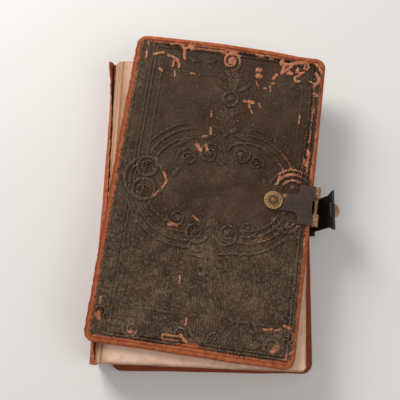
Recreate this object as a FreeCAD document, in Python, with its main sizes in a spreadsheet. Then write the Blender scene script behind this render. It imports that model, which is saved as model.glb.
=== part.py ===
import FreeCAD, Part
import math
import os
import Sketcher

from FreeCAD import Placement, Rotation, Vector

# A small clasped leather book that lies on its back cover. The origin is the middle of the
# back cover's underside: +X points to the fore-edge, +Y to the head and +Z up. Millimetres.
# The front cover has come off its torn spine leather and lies askew on the pages.

doc = FreeCAD.newDocument("clasped_book")
sheet = doc.addObject("Spreadsheet::Sheet", "Sizes")

SIZES = [
    # Both covers: a card board, its leather and the paper pasted inside
    ("cover_width", 94.0),
    ("cover_height", 150.0),
    ("cover_corner", 4.5),
    ("board_thickness", 2.0),
    ("leather_thickness", 0.6),
    ("pared_thickness", 0.4),
    ("turn_in", 9.0),
    ("edge_wear", 0.45),
    # The joint strip of the back cover, which bends when the book is opened
    ("strip_width", 3.6),
    ("strip_end_gap", 6.0),
    # Page block, whose width is what the overhang and the square leave of the cover
    ("block_overhang", 0.65),
    ("fore_square", 3.55),
    ("block_width", "=cover_width + block_overhang - fore_square"),
    ("block_height", 146.2),
    ("block_thickness", 16.0),
    ("block_round", 4.7),
    ("block_hollow", 1.2),
    ("section_count", 10),
    ("section_swell", 0.25),
    ("block_shift_y", 0.47),
    ("block_turn", -1.5),
    # Spine
    ("lining_thickness", 0.3),
    ("lining_clearance", 0.05),
    ("lining_low", 2.0),
    ("lining_high", 11.5),
    ("spine_thickness", 0.8),
    ("spine_round", 6.5),
    ("spine_top_radius", 40.0),
    ("spine_length", 147.4),
    ("spine_lift", 0.3),
    ("spine_foot_out", 2.5),
    ("spine_below_top", 0.35),
    ("tear_drop", 2.4),
    ("tear_ripple", 0.7),
    # Front cover, off its joint and askew
    ("front_shift_x", -1.9),
    ("front_shift_y", 7.07),
    ("front_turn", -7.3),
    ("torn_edge_depth", 0.56),
    ("relief_height", 0.45),
    ("relief_root", 0.2),
    ("relief_margin", 1.3),
    ("stamp_bold", 1.7),
    ("stamp_fine", 1.1),
    ("stamp_hair", 0.7),
    ("stem_shift", 3.4),
    ("seat_room", 0.3),
    # Catch on the front cover
    ("metal_thickness", 0.8),
    ("tongue_width", 8.3),
    ("tongue_start", 29.5),
    ("head_start", 41.5),
    ("head_width", 18.6),
    ("catch_reach", 2.7),
    ("slot_start", 0.6),
    ("catch_knuckle_radius", 1.7),
    ("catch_knuckle_length", 5.4),
    ("bar_radius", 0.8),
    ("fixed_fit", 0.02),
    ("rosette_radius", 4.3),
    ("rosette_rise", 1.0),
    ("rosette_petals", 8),
    ("petal_half_gap", 0.22),
    ("rivet_radius", 0.6),
    ("rivet_head_radius", 1.15),
    ("rivet_head_height", 0.45),
    ("side_rivet_x", 34.7),
    ("side_rivet_y", 2.9),
    # Hasp, hinged on the back cover's fore-edge
    ("hinge_out", 1.9),
    ("hinge_up", 1.6),
    ("knuckle_radius", 1.4),
    ("pin_radius", 0.6),
    ("pin_fit", 0.05),
    ("hinge_width", 19.0),
    ("end_knuckle_length", 4.4),
    ("knuckle_gap", 0.25),
    ("plate_rivet_margin", 2.4),
    ("hinge_plate_thickness", 0.6),
    ("plate_rivet_inset", 2.2),
    ("plate_rivet_spread", 5.5),
    ("hasp_length", 19.2),
    ("hasp_width", 15.5),
    ("hasp_end_width", 19.0),
    ("hasp_flare_length", 5.0),
    ("hasp_waist_length", 3.5),
    ("hasp_lean", 67.5),
    ("hook_depth", 1.5),
    ("hook_thickness", 0.8),
    ("hook_width", 6.4),
    ("lip_radius", 3.4),
    ("lip_thickness", 0.9),
    ("lip_inset", 0.9),
]

for row, (alias, value) in enumerate(SIZES, start=1):
    sheet.set("A%d" % row, alias)
    sheet.set("B%d" % row, str(value))
    sheet.setAlias("B%d" % row, alias)
doc.recompute()


def size(formula):
    """The value of a formula that is written in the sheet's names."""
    return float(sheet.evalExpression(formula))


COVER_THICKNESS = "(Sizes.leather_thickness + Sizes.board_thickness + Sizes.pared_thickness)"
FORE_EDGE = "(Sizes.cover_width / 2)"
UP = Vector(0, 0, 1)
ALONG = Vector(0, 1, 0)


def place(piece, x="0", y="0", z="0", turn="0", axis=UP):
    """Places a finished piece from formulas, turned about an axis by a number of degrees."""
    base = Vector(size(x), size(y), size(z))
    piece.Placement = Placement(base, Rotation(axis, size(turn)))
    for key, formula in (("x", x), ("y", y), ("z", z)):
        piece.setExpression("Placement.Base." + key, formula)
    if turn != "0":
        piece.setExpression("Placement.Rotation.Angle", "(" + turn + ") * 1deg")


def place_on_back(piece):
    place(piece)


def place_on_block(piece):
    shift = "Sizes.block_width / 2 - Sizes.block_overhang - " + FORE_EDGE
    place(piece, shift, "Sizes.block_shift_y", COVER_THICKNESS, "Sizes.block_turn")


def place_on_front(piece):
    height = COVER_THICKNESS + " + Sizes.block_thickness"
    place(piece, "Sizes.front_shift_x", "Sizes.front_shift_y", height, "Sizes.front_turn")


def place_on_hinge(piece):
    place(piece, FORE_EDGE + " + Sizes.hinge_out", "0", "Sizes.hinge_up", "-Sizes.hasp_lean", ALONG)


def new_body(label):
    body = doc.addObject("PartDesign::Body", label)
    body.Label = label
    return body


def new_sketch(body, name, role="XY_Plane", offset="0"):
    """A sketch on one of the body's own planes, raised by a formula along its normal."""
    sketch = body.newObject("Sketcher::SketchObject", name)
    plane = next(f for f in body.Origin.OriginFeatures if f.Role == role)
    sketch.AttachmentSupport = (plane, [""])
    sketch.MapMode = "FlatFace"
    sketch.AttachmentOffset = Placement(Vector(0, 0, size(offset)), Rotation())
    sketch.setExpression("AttachmentOffset.Base.z", offset)
    return sketch


def new_pad(body, name, sketch, length, side="One side", reverse=False):
    pad = body.newObject("PartDesign::Pad", name)
    pad.Profile = sketch
    pad.SideType = side
    pad.Reversed = reverse
    pad.setExpression("Length", length)
    doc.recompute()
    return pad


def new_pocket(body, name, sketch, length, side="One side", reverse=True):
    """A pocket that has to take something away; reversed, it runs along the sketch's normal."""
    before = body.Tip.Shape.Volume
    pocket = body.newObject("PartDesign::Pocket", name)
    pocket.Profile = sketch
    pocket.SideType = side
    pocket.Reversed = reverse
    pocket.setExpression("Length", length)
    doc.recompute()
    if pocket.Shape.Volume >= before:
        raise RuntimeError(name + " takes nothing away")
    return pocket


def name_constraint(sketch, constraint, name, formula):
    index = sketch.addConstraint(constraint)
    sketch.renameConstraint(index, name)
    sketch.setExpression("Constraints." + name, formula)


def draw_rounded_rectangle(sketch, width, height, radius):
    """A rectangle about the origin with four equal round corners, sized by formulas."""
    half_w = size(width) / 2
    half_h = size(height) / 2
    r = size(radius)
    corners = [(half_w - r, -half_h + r, 270), (half_w - r, half_h - r, 0),
               (-half_w + r, half_h - r, 90), (-half_w + r, -half_h + r, 180)]
    arcs = []
    for x, y, start in corners:
        circle = Part.Circle(Vector(x, y, 0), UP, r)
        arc = Part.ArcOfCircle(circle, math.radians(start), math.radians(start + 90))
        arcs.append(sketch.addGeometry(arc))
    ends = [(half_w, -half_h + r, half_w, half_h - r), (half_w - r, half_h, -half_w + r, half_h),
            (-half_w, half_h - r, -half_w, -half_h + r), (-half_w + r, -half_h, half_w - r, -half_h)]
    lines = []
    for x1, y1, x2, y2 in ends:
        lines.append(sketch.addGeometry(Part.LineSegment(Vector(x1, y1, 0), Vector(x2, y2, 0))))
    for k in range(4):
        sketch.addConstraint(Sketcher.Constraint("Tangent", arcs[k], 2, lines[k], 1))
        sketch.addConstraint(Sketcher.Constraint("Tangent", lines[k], 2, arcs[(k + 1) % 4], 1))
    sketch.addConstraint(Sketcher.Constraint("Vertical", lines[0]))
    sketch.addConstraint(Sketcher.Constraint("Horizontal", lines[1]))
    for k in range(1, 4):
        sketch.addConstraint(Sketcher.Constraint("Equal", arcs[0], arcs[k]))
    sketch.addConstraint(Sketcher.Constraint("Symmetric", arcs[0], 3, arcs[2], 3, -1, 1))
    across = Sketcher.Constraint("DistanceX", lines[2], 1, lines[0], 1, 2 * half_w)
    name_constraint(sketch, across, "across", width)
    along = Sketcher.Constraint("DistanceY", lines[3], 1, lines[1], 1, 2 * half_h)
    name_constraint(sketch, along, "along", height)
    name_constraint(sketch, Sketcher.Constraint("Radius", arcs[0], r), "corner", radius)


def draw_rectangle(sketch, left, right, low, high):
    """A plain rectangle between four formulas."""
    values = [size(f) for f in (left, right, low, high)]
    x1, x2, y1, y2 = values
    points = [Vector(x1, y1, 0), Vector(x2, y1, 0), Vector(x2, y2, 0), Vector(x1, y2, 0)]
    lines = []
    for k in range(4):
        lines.append(sketch.addGeometry(Part.LineSegment(points[k], points[(k + 1) % 4])))
    for k in range(4):
        sketch.addConstraint(Sketcher.Constraint("Coincident", lines[k], 2, lines[(k + 1) % 4], 1))
    for k in (0, 2):
        sketch.addConstraint(Sketcher.Constraint("Horizontal", lines[k]))
        sketch.addConstraint(Sketcher.Constraint("Vertical", lines[k + 1]))
    low_left = Sketcher.Constraint("DistanceX", -1, 1, lines[0], 1, x1)
    name_constraint(sketch, low_left, "left", left)
    low_right = Sketcher.Constraint("DistanceX", -1, 1, lines[1], 1, x2)
    name_constraint(sketch, low_right, "right", right)
    name_constraint(sketch, Sketcher.Constraint("DistanceY", -1, 1, lines[0], 1, y1), "low", low)
    name_constraint(sketch, Sketcher.Constraint("DistanceY", -1, 1, lines[2], 1, y2), "high", high)


def draw_circles(sketch, spots, radius):
    """Equal circles at places that are given as pairs of formulas."""
    for k, (x, y) in enumerate(spots):
        circle = Part.Circle(Vector(size(x), size(y), 0), UP, size(radius))
        index = sketch.addGeometry(circle)
        across = Sketcher.Constraint("DistanceX", -1, 1, index, 3, size(x))
        name_constraint(sketch, across, "x%d" % k, x)
        along = Sketcher.Constraint("DistanceY", -1, 1, index, 3, size(y))
        name_constraint(sketch, along, "y%d" % k, y)
        name_constraint(sketch, Sketcher.Constraint("Radius", index, size(radius)), "r%d" % k, radius)


def draw_outline(sketch, edges):
    """Loose outline edges whose places were worked out from the sheet."""
    for edge in edges:
        sketch.addGeometry(edge)


def line(x1, y1, x2, y2):
    return Part.LineSegment(Vector(x1, y1, 0), Vector(x2, y2, 0))


def arc_through(x1, y1, x2, y2, x3, y3):
    return Part.Arc(Vector(x1, y1, 0), Vector(x2, y2, 0), Vector(x3, y3, 0))


# Covers

PLATE_REACH = "(Sizes.turn_in + Sizes.plate_rivet_inset)"
PLATE_LENGTH = "(" + PLATE_REACH + " + Sizes.plate_rivet_margin)"
PLATE_RIVETS = [(FORE_EDGE + " - " + PLATE_REACH, "-Sizes.plate_rivet_spread"),
                (FORE_EDGE + " - " + PLATE_REACH, "Sizes.plate_rivet_spread")]
CATCH_RIVETS = [("Sizes.tongue_start", "0"), ("Sizes.side_rivet_x", "Sizes.side_rivet_y")]


def pierce(body, rivets, low, depth):
    """Rivet holes that run up from a height for a depth."""
    sketch = new_sketch(body, body.Label + "_rivet_marks", offset=low)
    draw_circles(sketch, rivets, "Sizes.rivet_radius + Sizes.fixed_fit")
    return new_pocket(body, body.Label + "_rivet_holes", sketch, depth)


def make_board(label, low, rivets):
    """The card board: a cover's size less the leather that wraps its edges."""
    body = new_body(label)
    sketch = new_sketch(body, label + "_outline", offset=low)
    draw_rounded_rectangle(sketch, "Sizes.cover_width - 2 * Sizes.leather_thickness",
                           "Sizes.cover_height - 2 * Sizes.leather_thickness",
                           "Sizes.cover_corner - Sizes.leather_thickness")
    new_pad(body, label + "_card", sketch, "Sizes.board_thickness")
    pierce(body, rivets, low, "Sizes.board_thickness")
    return body


def make_pastedown(label, low):
    """The paper inside a cover: it lies between the turned-in edges and hides the rivets' ends."""
    body = new_body(label)
    sketch = new_sketch(body, label + "_outline", offset=low)
    draw_rounded_rectangle(sketch, "Sizes.cover_width - 2 * Sizes.turn_in",
                           "Sizes.cover_height - 2 * Sizes.turn_in", "Sizes.leather_thickness")
    new_pad(body, label + "_paper", sketch, "Sizes.pared_thickness")
    return body


def outer_edges(feature, height):
    """The names of the edges that run round the outside of a cover at a height."""
    names = []
    half_w = size("Sizes.cover_width") / 2
    half_h = size("Sizes.cover_height") / 2
    corner = size("Sizes.cover_corner")
    for index, edge in enumerate(feature.Shape.Edges, start=1):
        box = edge.BoundBox
        at_height = abs(box.ZMin - height) < 1e-6 and abs(box.ZMax - height) < 1e-6
        middle = edge.valueAt((edge.FirstParameter + edge.LastParameter) / 2)
        outside = max(abs(middle.x) - half_w, abs(middle.y) - half_h) > -corner
        if at_height and outside:
            names.append("Edge%d" % index)
    return names


def make_leather(label, card_low, window_low, outer_height, rivets):
    """Leather over the outside of a board, round its edges and turned in under the pastedown."""
    body = new_body(label)
    outline = new_sketch(body, label + "_outline")
    draw_rounded_rectangle(outline, "Sizes.cover_width", "Sizes.cover_height", "Sizes.cover_corner")
    skin = new_pad(body, label + "_skin", outline, COVER_THICKNESS)
    softened = body.newObject("PartDesign::Chamfer", label + "_worn_edge")
    softened.Base = (skin, outer_edges(skin, size(outer_height)))
    softened.setExpression("Size", "Sizes.edge_wear")
    doc.recompute()
    card = new_sketch(body, label + "_card_outline", offset=card_low)
    draw_rounded_rectangle(card, "Sizes.cover_width - 2 * Sizes.leather_thickness",
                           "Sizes.cover_height - 2 * Sizes.leather_thickness",
                           "Sizes.cover_corner - Sizes.leather_thickness")
    new_pocket(body, label + "_card_space", card, "Sizes.board_thickness")
    window = new_sketch(body, label + "_window_outline", offset=window_low)
    draw_rounded_rectangle(window, "Sizes.cover_width - 2 * Sizes.turn_in",
                           "Sizes.cover_height - 2 * Sizes.turn_in", "Sizes.leather_thickness")
    new_pocket(body, label + "_window", window, "Sizes.pared_thickness")
    pierce(body, rivets, "0", COVER_THICKNESS)
    return body


def make_back_cover():
    """The back cover lies outside down, so its leather is lowest and its pastedown highest."""
    board_low = "Sizes.leather_thickness"
    paper_low = "(Sizes.leather_thickness + Sizes.board_thickness)"
    board = make_board("back_board", board_low, PLATE_RIVETS)
    paper = make_pastedown("back_pastedown", paper_low)
    leather = make_leather("back_cover_leather", board_low, paper_low, "0", PLATE_RIVETS)
    recess = new_sketch(leather, "hinge_plate_recess_outline")
    half_hinge = "(Sizes.hinge_width / 2 + Sizes.fixed_fit)"
    draw_rectangle(recess, FORE_EDGE + " - " + PLATE_LENGTH + " - Sizes.fixed_fit",
                   FORE_EDGE + " + Sizes.hinge_out", "-" + half_hinge, half_hinge)
    new_pocket(leather, "hinge_plate_recess", recess, "Sizes.hinge_plate_thickness")
    strip = new_sketch(leather, "joint_strip_outline")
    half_strip = "(Sizes.cover_height / 2 - Sizes.strip_end_gap)"
    draw_rectangle(strip, "-" + FORE_EDGE + " - Sizes.strip_width",
                   "-" + FORE_EDGE + " + Sizes.leather_thickness", "-" + half_strip, half_strip)
    new_pad(leather, "joint_strip", strip, "Sizes.leather_thickness")
    for piece in (board, paper, leather):
        place_on_back(piece)
    return [board, paper, leather]


# The stamped ornament of the front cover, as raised bands, scrolls and leaves on one plane.
# Places are millimetres from the middle of the cover, and angles run anticlockwise from +X. It
# comes from one engraved stamp, so it keeps its size when the cover changes; the frame and the
# corner pieces follow the cover's edges.

BOLD = size("Sizes.stamp_bold")
FINE = size("Sizes.stamp_fine")
HAIR = size("Sizes.stamp_hair")
STEM = size("Sizes.stem_shift")
SCROLL_SHARE = 0.68
BAND_STEP = 10.0
SCROLL_STEP = 22.5

# Bands along arcs of the cartouche and its medallions: x, y, radius, first and last angle, width
BANDS = [
    (-8, 6, 24.3, 93, 160, BOLD), (-9, 5, 20.4, 86, 160, FINE), (-8.5, 5.5, 27.4, 100, 150, HAIR),
    (14, 5, 25.0, 22, 106, BOLD), (14, 5, 21.0, 20, 108, FINE), (14, 5, 28.2, 34, 92, HAIR),
    (-10, 2, 29.5, 197, 291, BOLD), (-10, 1.2, 25.6, 202, 285, FINE), (-12, 0, 17.6, 204, 280, FINE),
    (17, 1, 17.5, 262, 340, FINE), (17, 1, 23.0, 260, 338, BOLD), (15, 1, 28.4, 254, 326, BOLD),
    (-30.5, 2.5, 10.2, 58, 302, BOLD), (38, 5.5, 10.6, 20, 170, FINE), (36.5, -8, 6.2, 175, 350, FINE),
]

# Whole rings: x, y, radius, width
RINGS = [(-31, 8, 4.6, FINE), (-31, -3.2, 5.2, FINE), (38, 5.5, 8.2, BOLD), (38, 5.5, 5.4, FINE),
         (STEM, 47.4, 3.6, FINE)]

# Scrolls: x, y, radius, the angle where it starts, its hand, its half turns and its width
SCROLLS = [
    (-12.7, 15.4, 5.4, 200, -1, 3, FINE), (-2.8, 18.4, 5.9, 20, 1, 3, FINE),
    (11.9, 20.0, 6.4, 170, -1, 3, FINE), (19.5, 16.6, 3.8, -20, 1, 2, FINE),
    (-4.2, -19.7, 5.9, -10, -1, 3, FINE), (10.5, -18.6, 6.4, 190, 1, 3, FINE),
    (19.8, -14.8, 4.4, 10, -1, 2, FINE), (-13.6, -14.0, 4.6, 170, 1, 2, FINE),
    (1.3, 65.8, 5.6, 250, 1, 3, BOLD),
]

# Single leaves: root, tip and fullness
LEAVES = [
    (-27.5, 11.5, -20.7, 1.2, 1.1), (-27.5, -7.5, -20.7, 2.8, 1.1), (4.2, 62, 4.2, 50.6, 3.4),
    (-4.4, 57, 2.6, 51.4, 1.1), (12.4, 57, 5.6, 51.4, 1.1), (-19, 20, -10, 25.5, 1.2),
    (26, 21, 18, 26.5, 1.2), (-20, -18, -11, -24, 1.2), (27, -17, 19, -23.5, 1.2),
    (-8, 24.5, 0, 28.5, 1.1), (15, 27, 6.5, 29, 1.1), (-8, -26, 0, -28.5, 1.1), (15, -25.5, 6.5, -28.5, 1.1),
]

# Sprays of leaves from one root: x, y, length, fullness and the angles of the leaves
SPRAYS = [
    (STEM, 13.5, 6.0, 1.2, (60, 90, 120)), (STEM, -12.5, 6.0, 1.2, (-60, -90, -120)),
    (STEM, 38.1, 6.4, 1.1, (28, 60, 120, 152)), (STEM, 33.5, 7.2, 1.1, (28, 60, 120, 152)),
    (STEM, 28.9, 8.4, 1.1, (28, 60, 120, 152)), (STEM, -28.0, 8.0, 1.1, (-24, -55, -125, -156)),
    (STEM, -32.0, 6.8, 1.0, (-40, -90, -140)), (STEM, -36.4, 5.6, 1.0, (-40, -90, -140)),
]


def arc_points(middle, radius, start, end, step):
    """Points along an arc, at even angles that are near a step in degrees."""
    count = max(2, round(abs(end - start) / step))
    points = []
    for k in range(count + 1):
        a = math.radians(start + (end - start) * k / count)
        points.append(middle + Vector(math.cos(a), math.sin(a), 0) * radius)
    return points


def flat_face(points):
    return Part.Face(Part.makePolygon(points + points[:1]))


def ring_band(x, y, radius, start, end, width):
    """A flat band along an arc about (x, y), from one angle to another."""
    middle = Vector(x, y, 0)
    outer = arc_points(middle, radius + width / 2, start, end, BAND_STEP)
    inner = arc_points(middle, radius - width / 2, start, end, BAND_STEP)
    return flat_face(outer + inner[::-1])


def whole_ring(x, y, radius, width):
    """A flat band along a whole circle."""
    middle = Vector(x, y, 0)
    faces = [flat_face(arc_points(middle, r, 0, 360, SCROLL_STEP)[:-1])
             for r in (radius + width / 2, radius - width / 2)]
    return faces[0].cut(faces[1])


def scroll(x, y, radius, start, hand, half_turns, width):
    """A volute about (x, y): half circles whose ends come nearer to it by a constant share. Its
    hand is 1 when it winds anticlockwise and -1 when it winds clockwise."""
    middle = Vector(x, y, 0)
    angle = start
    sides = ([], [])
    for _ in range(half_turns):
        heading = Vector(math.cos(math.radians(angle)), math.sin(math.radians(angle)), 0)
        centre = middle + heading * (radius * (1 - SCROLL_SHARE) / 2)
        bow = radius * (1 + SCROLL_SHARE) / 2
        for points, edge in zip(sides, (bow + width / 2, bow - width / 2)):
            turn = arc_points(centre, edge, angle, angle + hand * 180, SCROLL_STEP)
            points.extend(turn[1:] if points else turn)
        radius *= SCROLL_SHARE
        angle += hand * 180
    return flat_face(sides[0] + sides[1][::-1])


def leaf(x1, y1, x2, y2, fullness):
    """A pointed leaf from its blunt root to its tip, widest a third of the way along."""
    start = Vector(x1, y1, 0)
    along = Vector(x2, y2, 0) - start
    aside = Vector(-along.y, along.x, 0).normalize() * fullness
    outline = [(0, 0.4), (0.35, 1), (1, 0), (0.35, -1), (0, -0.4)]
    return flat_face([start + along * share + aside * side for share, side in outline])


def spray(x, y, length, fullness, angles):
    """Leaves that spring from one point at several angles."""
    leaves = []
    for angle in angles:
        a = math.radians(angle)
        leaves.append(leaf(x, y, x + length * math.cos(a), y + length * math.sin(a), fullness))
    return leaves


def fillet_frame(left, right, low, high, width):
    """A rectangular line of the given width."""
    faces = []
    for grow in (width / 2, -width / 2):
        faces.append(flat_face([
            Vector(left - grow, low - grow, 0), Vector(right + grow, low - grow, 0),
            Vector(right + grow, high + grow, 0), Vector(left - grow, high + grow, 0)]))
    return faces[0].cut(faces[1])


def corner_pieces(right, head):
    """Scrolls and leaves in the corners, placed from the cover's fore-edge and head."""
    shapes = [
        scroll(-right + 22.0, head - 8.0, 4.5, 200, -1, 3, FINE),
        leaf(-right + 17.0, head - 8.5, -right + 7.5, head - 10.0, 1.3),
        leaf(-right + 20.8, head - 11.5, -right + 21.0, head - 17.5, 1.2),
        scroll(right - 11.8, head - 8.4, 4.6, 240, 1, 3, FINE),
        scroll(right - 18.8, head - 7.6, 3.6, -30, -1, 2, FINE),
        scroll(right - 5.0, head - 12.8, 3.4, 110, -1, 2, FINE),
        leaf(right - 13.8, head - 12.4, right - 16.2, head - 17.4, 1.0),
        leaf(right - 10.8, head - 12.6, right - 8.6, head - 17.0, 1.0),
        leaf(right - 32.2, head - 9.0, right - 31.4, head - 16.0, 1.4),
        scroll(-right + 21.0, -head + 7.8, 4.0, 150, 1, 2, FINE),
        leaf(-right + 16.0, -head + 8.5, -right + 8.0, -head + 9.5, 1.1),
        scroll(right - 10.0, -head + 8.8, 4.2, 210, -1, 2, FINE),
        leaf(right - 15.6, -head + 8.6, right - 23.0, -head + 7.6, 1.1),
    ]
    for side, start, hand in ((-1, 340, 1), (1, 200, -1)):
        shapes.append(scroll(STEM + side * 7.8, -head + 9.0, 3.0, start, hand, 2, FINE))
    return shapes + spray(STEM, -head + 5.0, 7.0, 1.1, (35, 90, 145))


def make_catch_seat():
    """The flat ground that is kept clear of ornament under the catch and its rosette."""
    room = size("Sizes.seat_room")
    start = size("Sizes.tongue_start")
    half_tongue = size("Sizes.tongue_width") / 2 + room
    half_head = size("Sizes.head_width") / 2 + room
    head = size("Sizes.head_start") - room
    far = size(FORE_EDGE)
    disc = Part.Face(Part.Wire(Part.makeCircle(size("Sizes.rosette_radius") + room, Vector(start, 0, 0))))
    tongue = Part.makePlane(far - start, 2 * half_tongue, Vector(start, -half_tongue, 0))
    wide = Part.makePlane(far - head, 2 * half_head, Vector(head, -half_head, 0))
    sweep = (half_head - half_tongue) / 2
    half_neck = half_tongue + sweep
    neck = Part.makePlane(sweep + room, 2 * half_neck, Vector(head - sweep, -half_neck, 0))
    return [disc, tongue, neck, wide]


def make_relief_faces():
    """The whole ornament as flat faces, trimmed inside the cover's edge and clear of the catch."""
    right = size(FORE_EDGE)
    head = size("Sizes.cover_height") / 2
    margin = size("Sizes.relief_margin")
    shapes = [fillet_frame(-right + 9.4, right - 4.0, -head + 4.4, head - 3.6, FINE),
              fillet_frame(-right + 11.1, right - 5.8, -head + 5.8, head - 5.2, HAIR),
              fillet_frame(-right + 15.2, right - 9.8, -head + 17.6, head - 16.4, HAIR)]
    shapes += [ring_band(*values) for values in BANDS]
    shapes += [whole_ring(*values) for values in RINGS]
    shapes += [scroll(*values) for values in SCROLLS]
    shapes += [leaf(*values) for values in LEAVES]
    for values in SPRAYS:
        shapes += spray(*values)
    shapes += corner_pieces(right, head)
    joined = Part.Shell(shapes[0].multiFuse(shapes[1:]).Faces).removeSplitter()
    trim = Part.makePlane(2 * (right - margin), 2 * (head - margin), Vector(-right + margin, -head + margin, 0))
    return joined.common(trim).cut(make_catch_seat())


TEAR_STEPS = 32
TEAR_BACKING = 1.0


def tear(length, depth):
    """Points along a torn edge: three waves of unlike length, from -length/2 to length/2, whose
    sum runs between nothing and the depth."""
    waves = [(17, 1.0, 0.0), (41, 0.7, 1.3), (73, 0.5, 0.4)]
    most = sum(height for _, height, _ in waves)
    points = []
    for k in range(TEAR_STEPS + 1):
        t = k / TEAR_STEPS
        wave = sum(height * math.sin(turns * t + phase) for turns, height, phase in waves)
        points.append((length * (t - 0.5), depth * (wave + most) / (2 * most)))
    return points


def draw_closed(sketch, points):
    """Straight lines through points and back to the first one."""
    for k in range(len(points)):
        sketch.addGeometry(line(*points[k - 1], *points[k]))


def make_front_cover():
    """The front cover lies outside up, with the stamped relief on it and a torn spine edge."""
    board_low = "Sizes.pared_thickness"
    board = make_board("front_board", board_low, CATCH_RIVETS)
    paper = make_pastedown("front_pastedown", "0")
    skin = make_leather("front_skin", board_low, "0", COVER_THICKNESS, CATCH_RIVETS)

    torn = new_sketch(skin, "torn_edge_outline", offset="-Sizes.leather_thickness")
    edge_x = -size(FORE_EDGE)
    reach = size("Sizes.cover_height") - 2 * size("Sizes.cover_corner")
    ragged = [(edge_x + depth, y) for y, depth in tear(reach, size("Sizes.torn_edge_depth"))]
    backing = [(edge_x - TEAR_BACKING, reach / 2), (edge_x - TEAR_BACKING, -reach / 2)]
    draw_closed(torn, ragged + backing)
    new_pocket(skin, "torn_edge", torn, COVER_THICKNESS + " + 2 * Sizes.leather_thickness")

    faces = doc.addObject("Part::Feature", "stamped_relief_faces")
    root = size(COVER_THICKNESS) - size("Sizes.relief_root")
    faces.Shape = Part.makeCompound(make_relief_faces().Faces).translated(Vector(0, 0, root))
    relief = doc.addObject("Part::Extrusion", "stamped_relief")
    relief.Base = faces
    relief.DirMode = "Custom"
    relief.Dir = UP
    relief.Solid = True
    relief.setExpression("LengthFwd", "Sizes.relief_root + Sizes.relief_height")
    leather = doc.addObject("Part::MultiFuse", "front_cover_leather")
    leather.Label = "front_cover_leather"
    leather.Shapes = [skin, relief]
    for piece in (board, paper, leather):
        place_on_front(piece)
    return [board, paper, leather]


# Pages and spine

def block_arc_radius():
    """The radius of the rounded spine, from its height and how far it bulges."""
    half = size("Sizes.block_thickness") / 2
    bulge = size("Sizes.block_round")
    return (half * half + bulge * bulge) / (2 * bulge)


def make_page_block():
    """Sewn pages: a rounded spine of folded sections and a slightly hollow fore-edge."""
    body = new_body("page_block")
    sketch = new_sketch(body, "page_block_section", role="XZ_Plane")
    half_w = size("Sizes.block_width") / 2
    tall = size("Sizes.block_thickness")
    radius = block_arc_radius()
    centre = radius - half_w - size("Sizes.block_round")
    count = int(size("Sizes.section_count"))
    half_angle = math.asin(tall / 2 / radius)
    edges = [line(-half_w, tall, half_w, tall),
             arc_through(half_w, tall, half_w - size("Sizes.block_hollow"), tall / 2, half_w, 0),
             line(half_w, 0, -half_w, 0)]

    def on_round(angle, swell):
        x = centre - (radius + swell) * math.cos(angle)
        return x, tall / 2 + (radius + swell) * math.sin(angle)

    for k in range(count):
        a1 = -half_angle + 2 * half_angle * k / count
        a2 = -half_angle + 2 * half_angle * (k + 1) / count
        outermost = k in (0, count - 1)
        middle = on_round((a1 + a2) / 2, 0 if outermost else size("Sizes.section_swell"))
        edges.append(arc_through(*on_round(a1, 0), *middle, *on_round(a2, 0)))
    draw_outline(sketch, edges)
    new_pad(body, "page_block_pages", sketch, "Sizes.block_height", side="Symmetric")
    place_on_block(body)
    return body


def curved_shell(label, upper, lower, outermost, thickness, low, high, length):
    """A bent strip along Y: an upper and a lower arc that meet upright at its outermost line."""
    body = new_body(label)
    sketch = new_sketch(body, label + "_section", role="XZ_Plane")
    middle = size("Sizes.block_thickness") / 2

    def point(radius, inset, height):
        """A point at a height on an arc that is a distance inside the outermost line."""
        drop = height - middle
        reach = radius - inset
        return outermost + radius - math.sqrt(reach * reach - drop * drop), height

    def bend(radius, inset, end):
        half_way = point(radius, inset, (middle + end) / 2)
        return arc_through(*point(radius, inset, middle), *half_way, *point(radius, inset, end))

    draw_outline(sketch, [
        bend(upper, 0, high),
        line(*point(upper, 0, high), *point(upper, thickness, high)),
        bend(upper, thickness, high),
        bend(lower, thickness, low),
        line(*point(lower, thickness, low), *point(lower, 0, low)),
        bend(lower, 0, low),
    ])
    new_pad(body, label + "_strip", sketch, length, side="Symmetric")
    return body


def make_spine_lining():
    """The paper glued over the folds of the lower sections; the upper ones are bare."""
    thickness = size("Sizes.lining_thickness")
    out = size("Sizes.section_swell") + size("Sizes.lining_clearance") + thickness
    radius = block_arc_radius() + out
    outermost = -size("Sizes.block_width") / 2 - size("Sizes.block_round") - out
    body = curved_shell("spine_lining", radius, radius, outermost, thickness,
                        size("Sizes.lining_low"), size("Sizes.lining_high"), "Sizes.block_height")
    place_on_block(body)
    return body


def make_spine_leather():
    """The old spine leather: down to the back cover's joint, torn along its upper edge."""
    cover = size(COVER_THICKNESS)
    tall = size("Sizes.block_thickness")
    low = size("Sizes.leather_thickness") + size("Sizes.spine_lift") - cover
    high = tall - size("Sizes.spine_below_top")
    outermost = -size("Sizes.block_width") / 2 - size("Sizes.spine_round")
    upper = size("Sizes.spine_top_radius")
    half = tall / 2 - low
    sagitta = size("Sizes.spine_foot_out")
    lower = (half * half + sagitta * sagitta) / (2 * sagitta)
    body = curved_shell("spine_leather", upper, lower, outermost, size("Sizes.spine_thickness"),
                        low, high, "Sizes.spine_length")
    torn = new_sketch(body, "torn_spine_outline", role="YZ_Plane", offset="-Sizes.block_width")
    length = size("Sizes.spine_length") + 2 * TEAR_BACKING
    drop = size("Sizes.tear_drop")
    ragged = []
    for y, wave in tear(length, size("Sizes.tear_ripple")):
        fall = drop * min(max(2 * y / length, 0.0), 1.0)
        ragged.append((y, high - fall - wave))
    above = high + TEAR_BACKING
    draw_closed(torn, ragged + [(length / 2, above), (-length / 2, above)])
    new_pocket(body, "torn_spine_edge", torn, "Sizes.block_width")
    place_on_block(body)
    return body


# Metalwork

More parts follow.
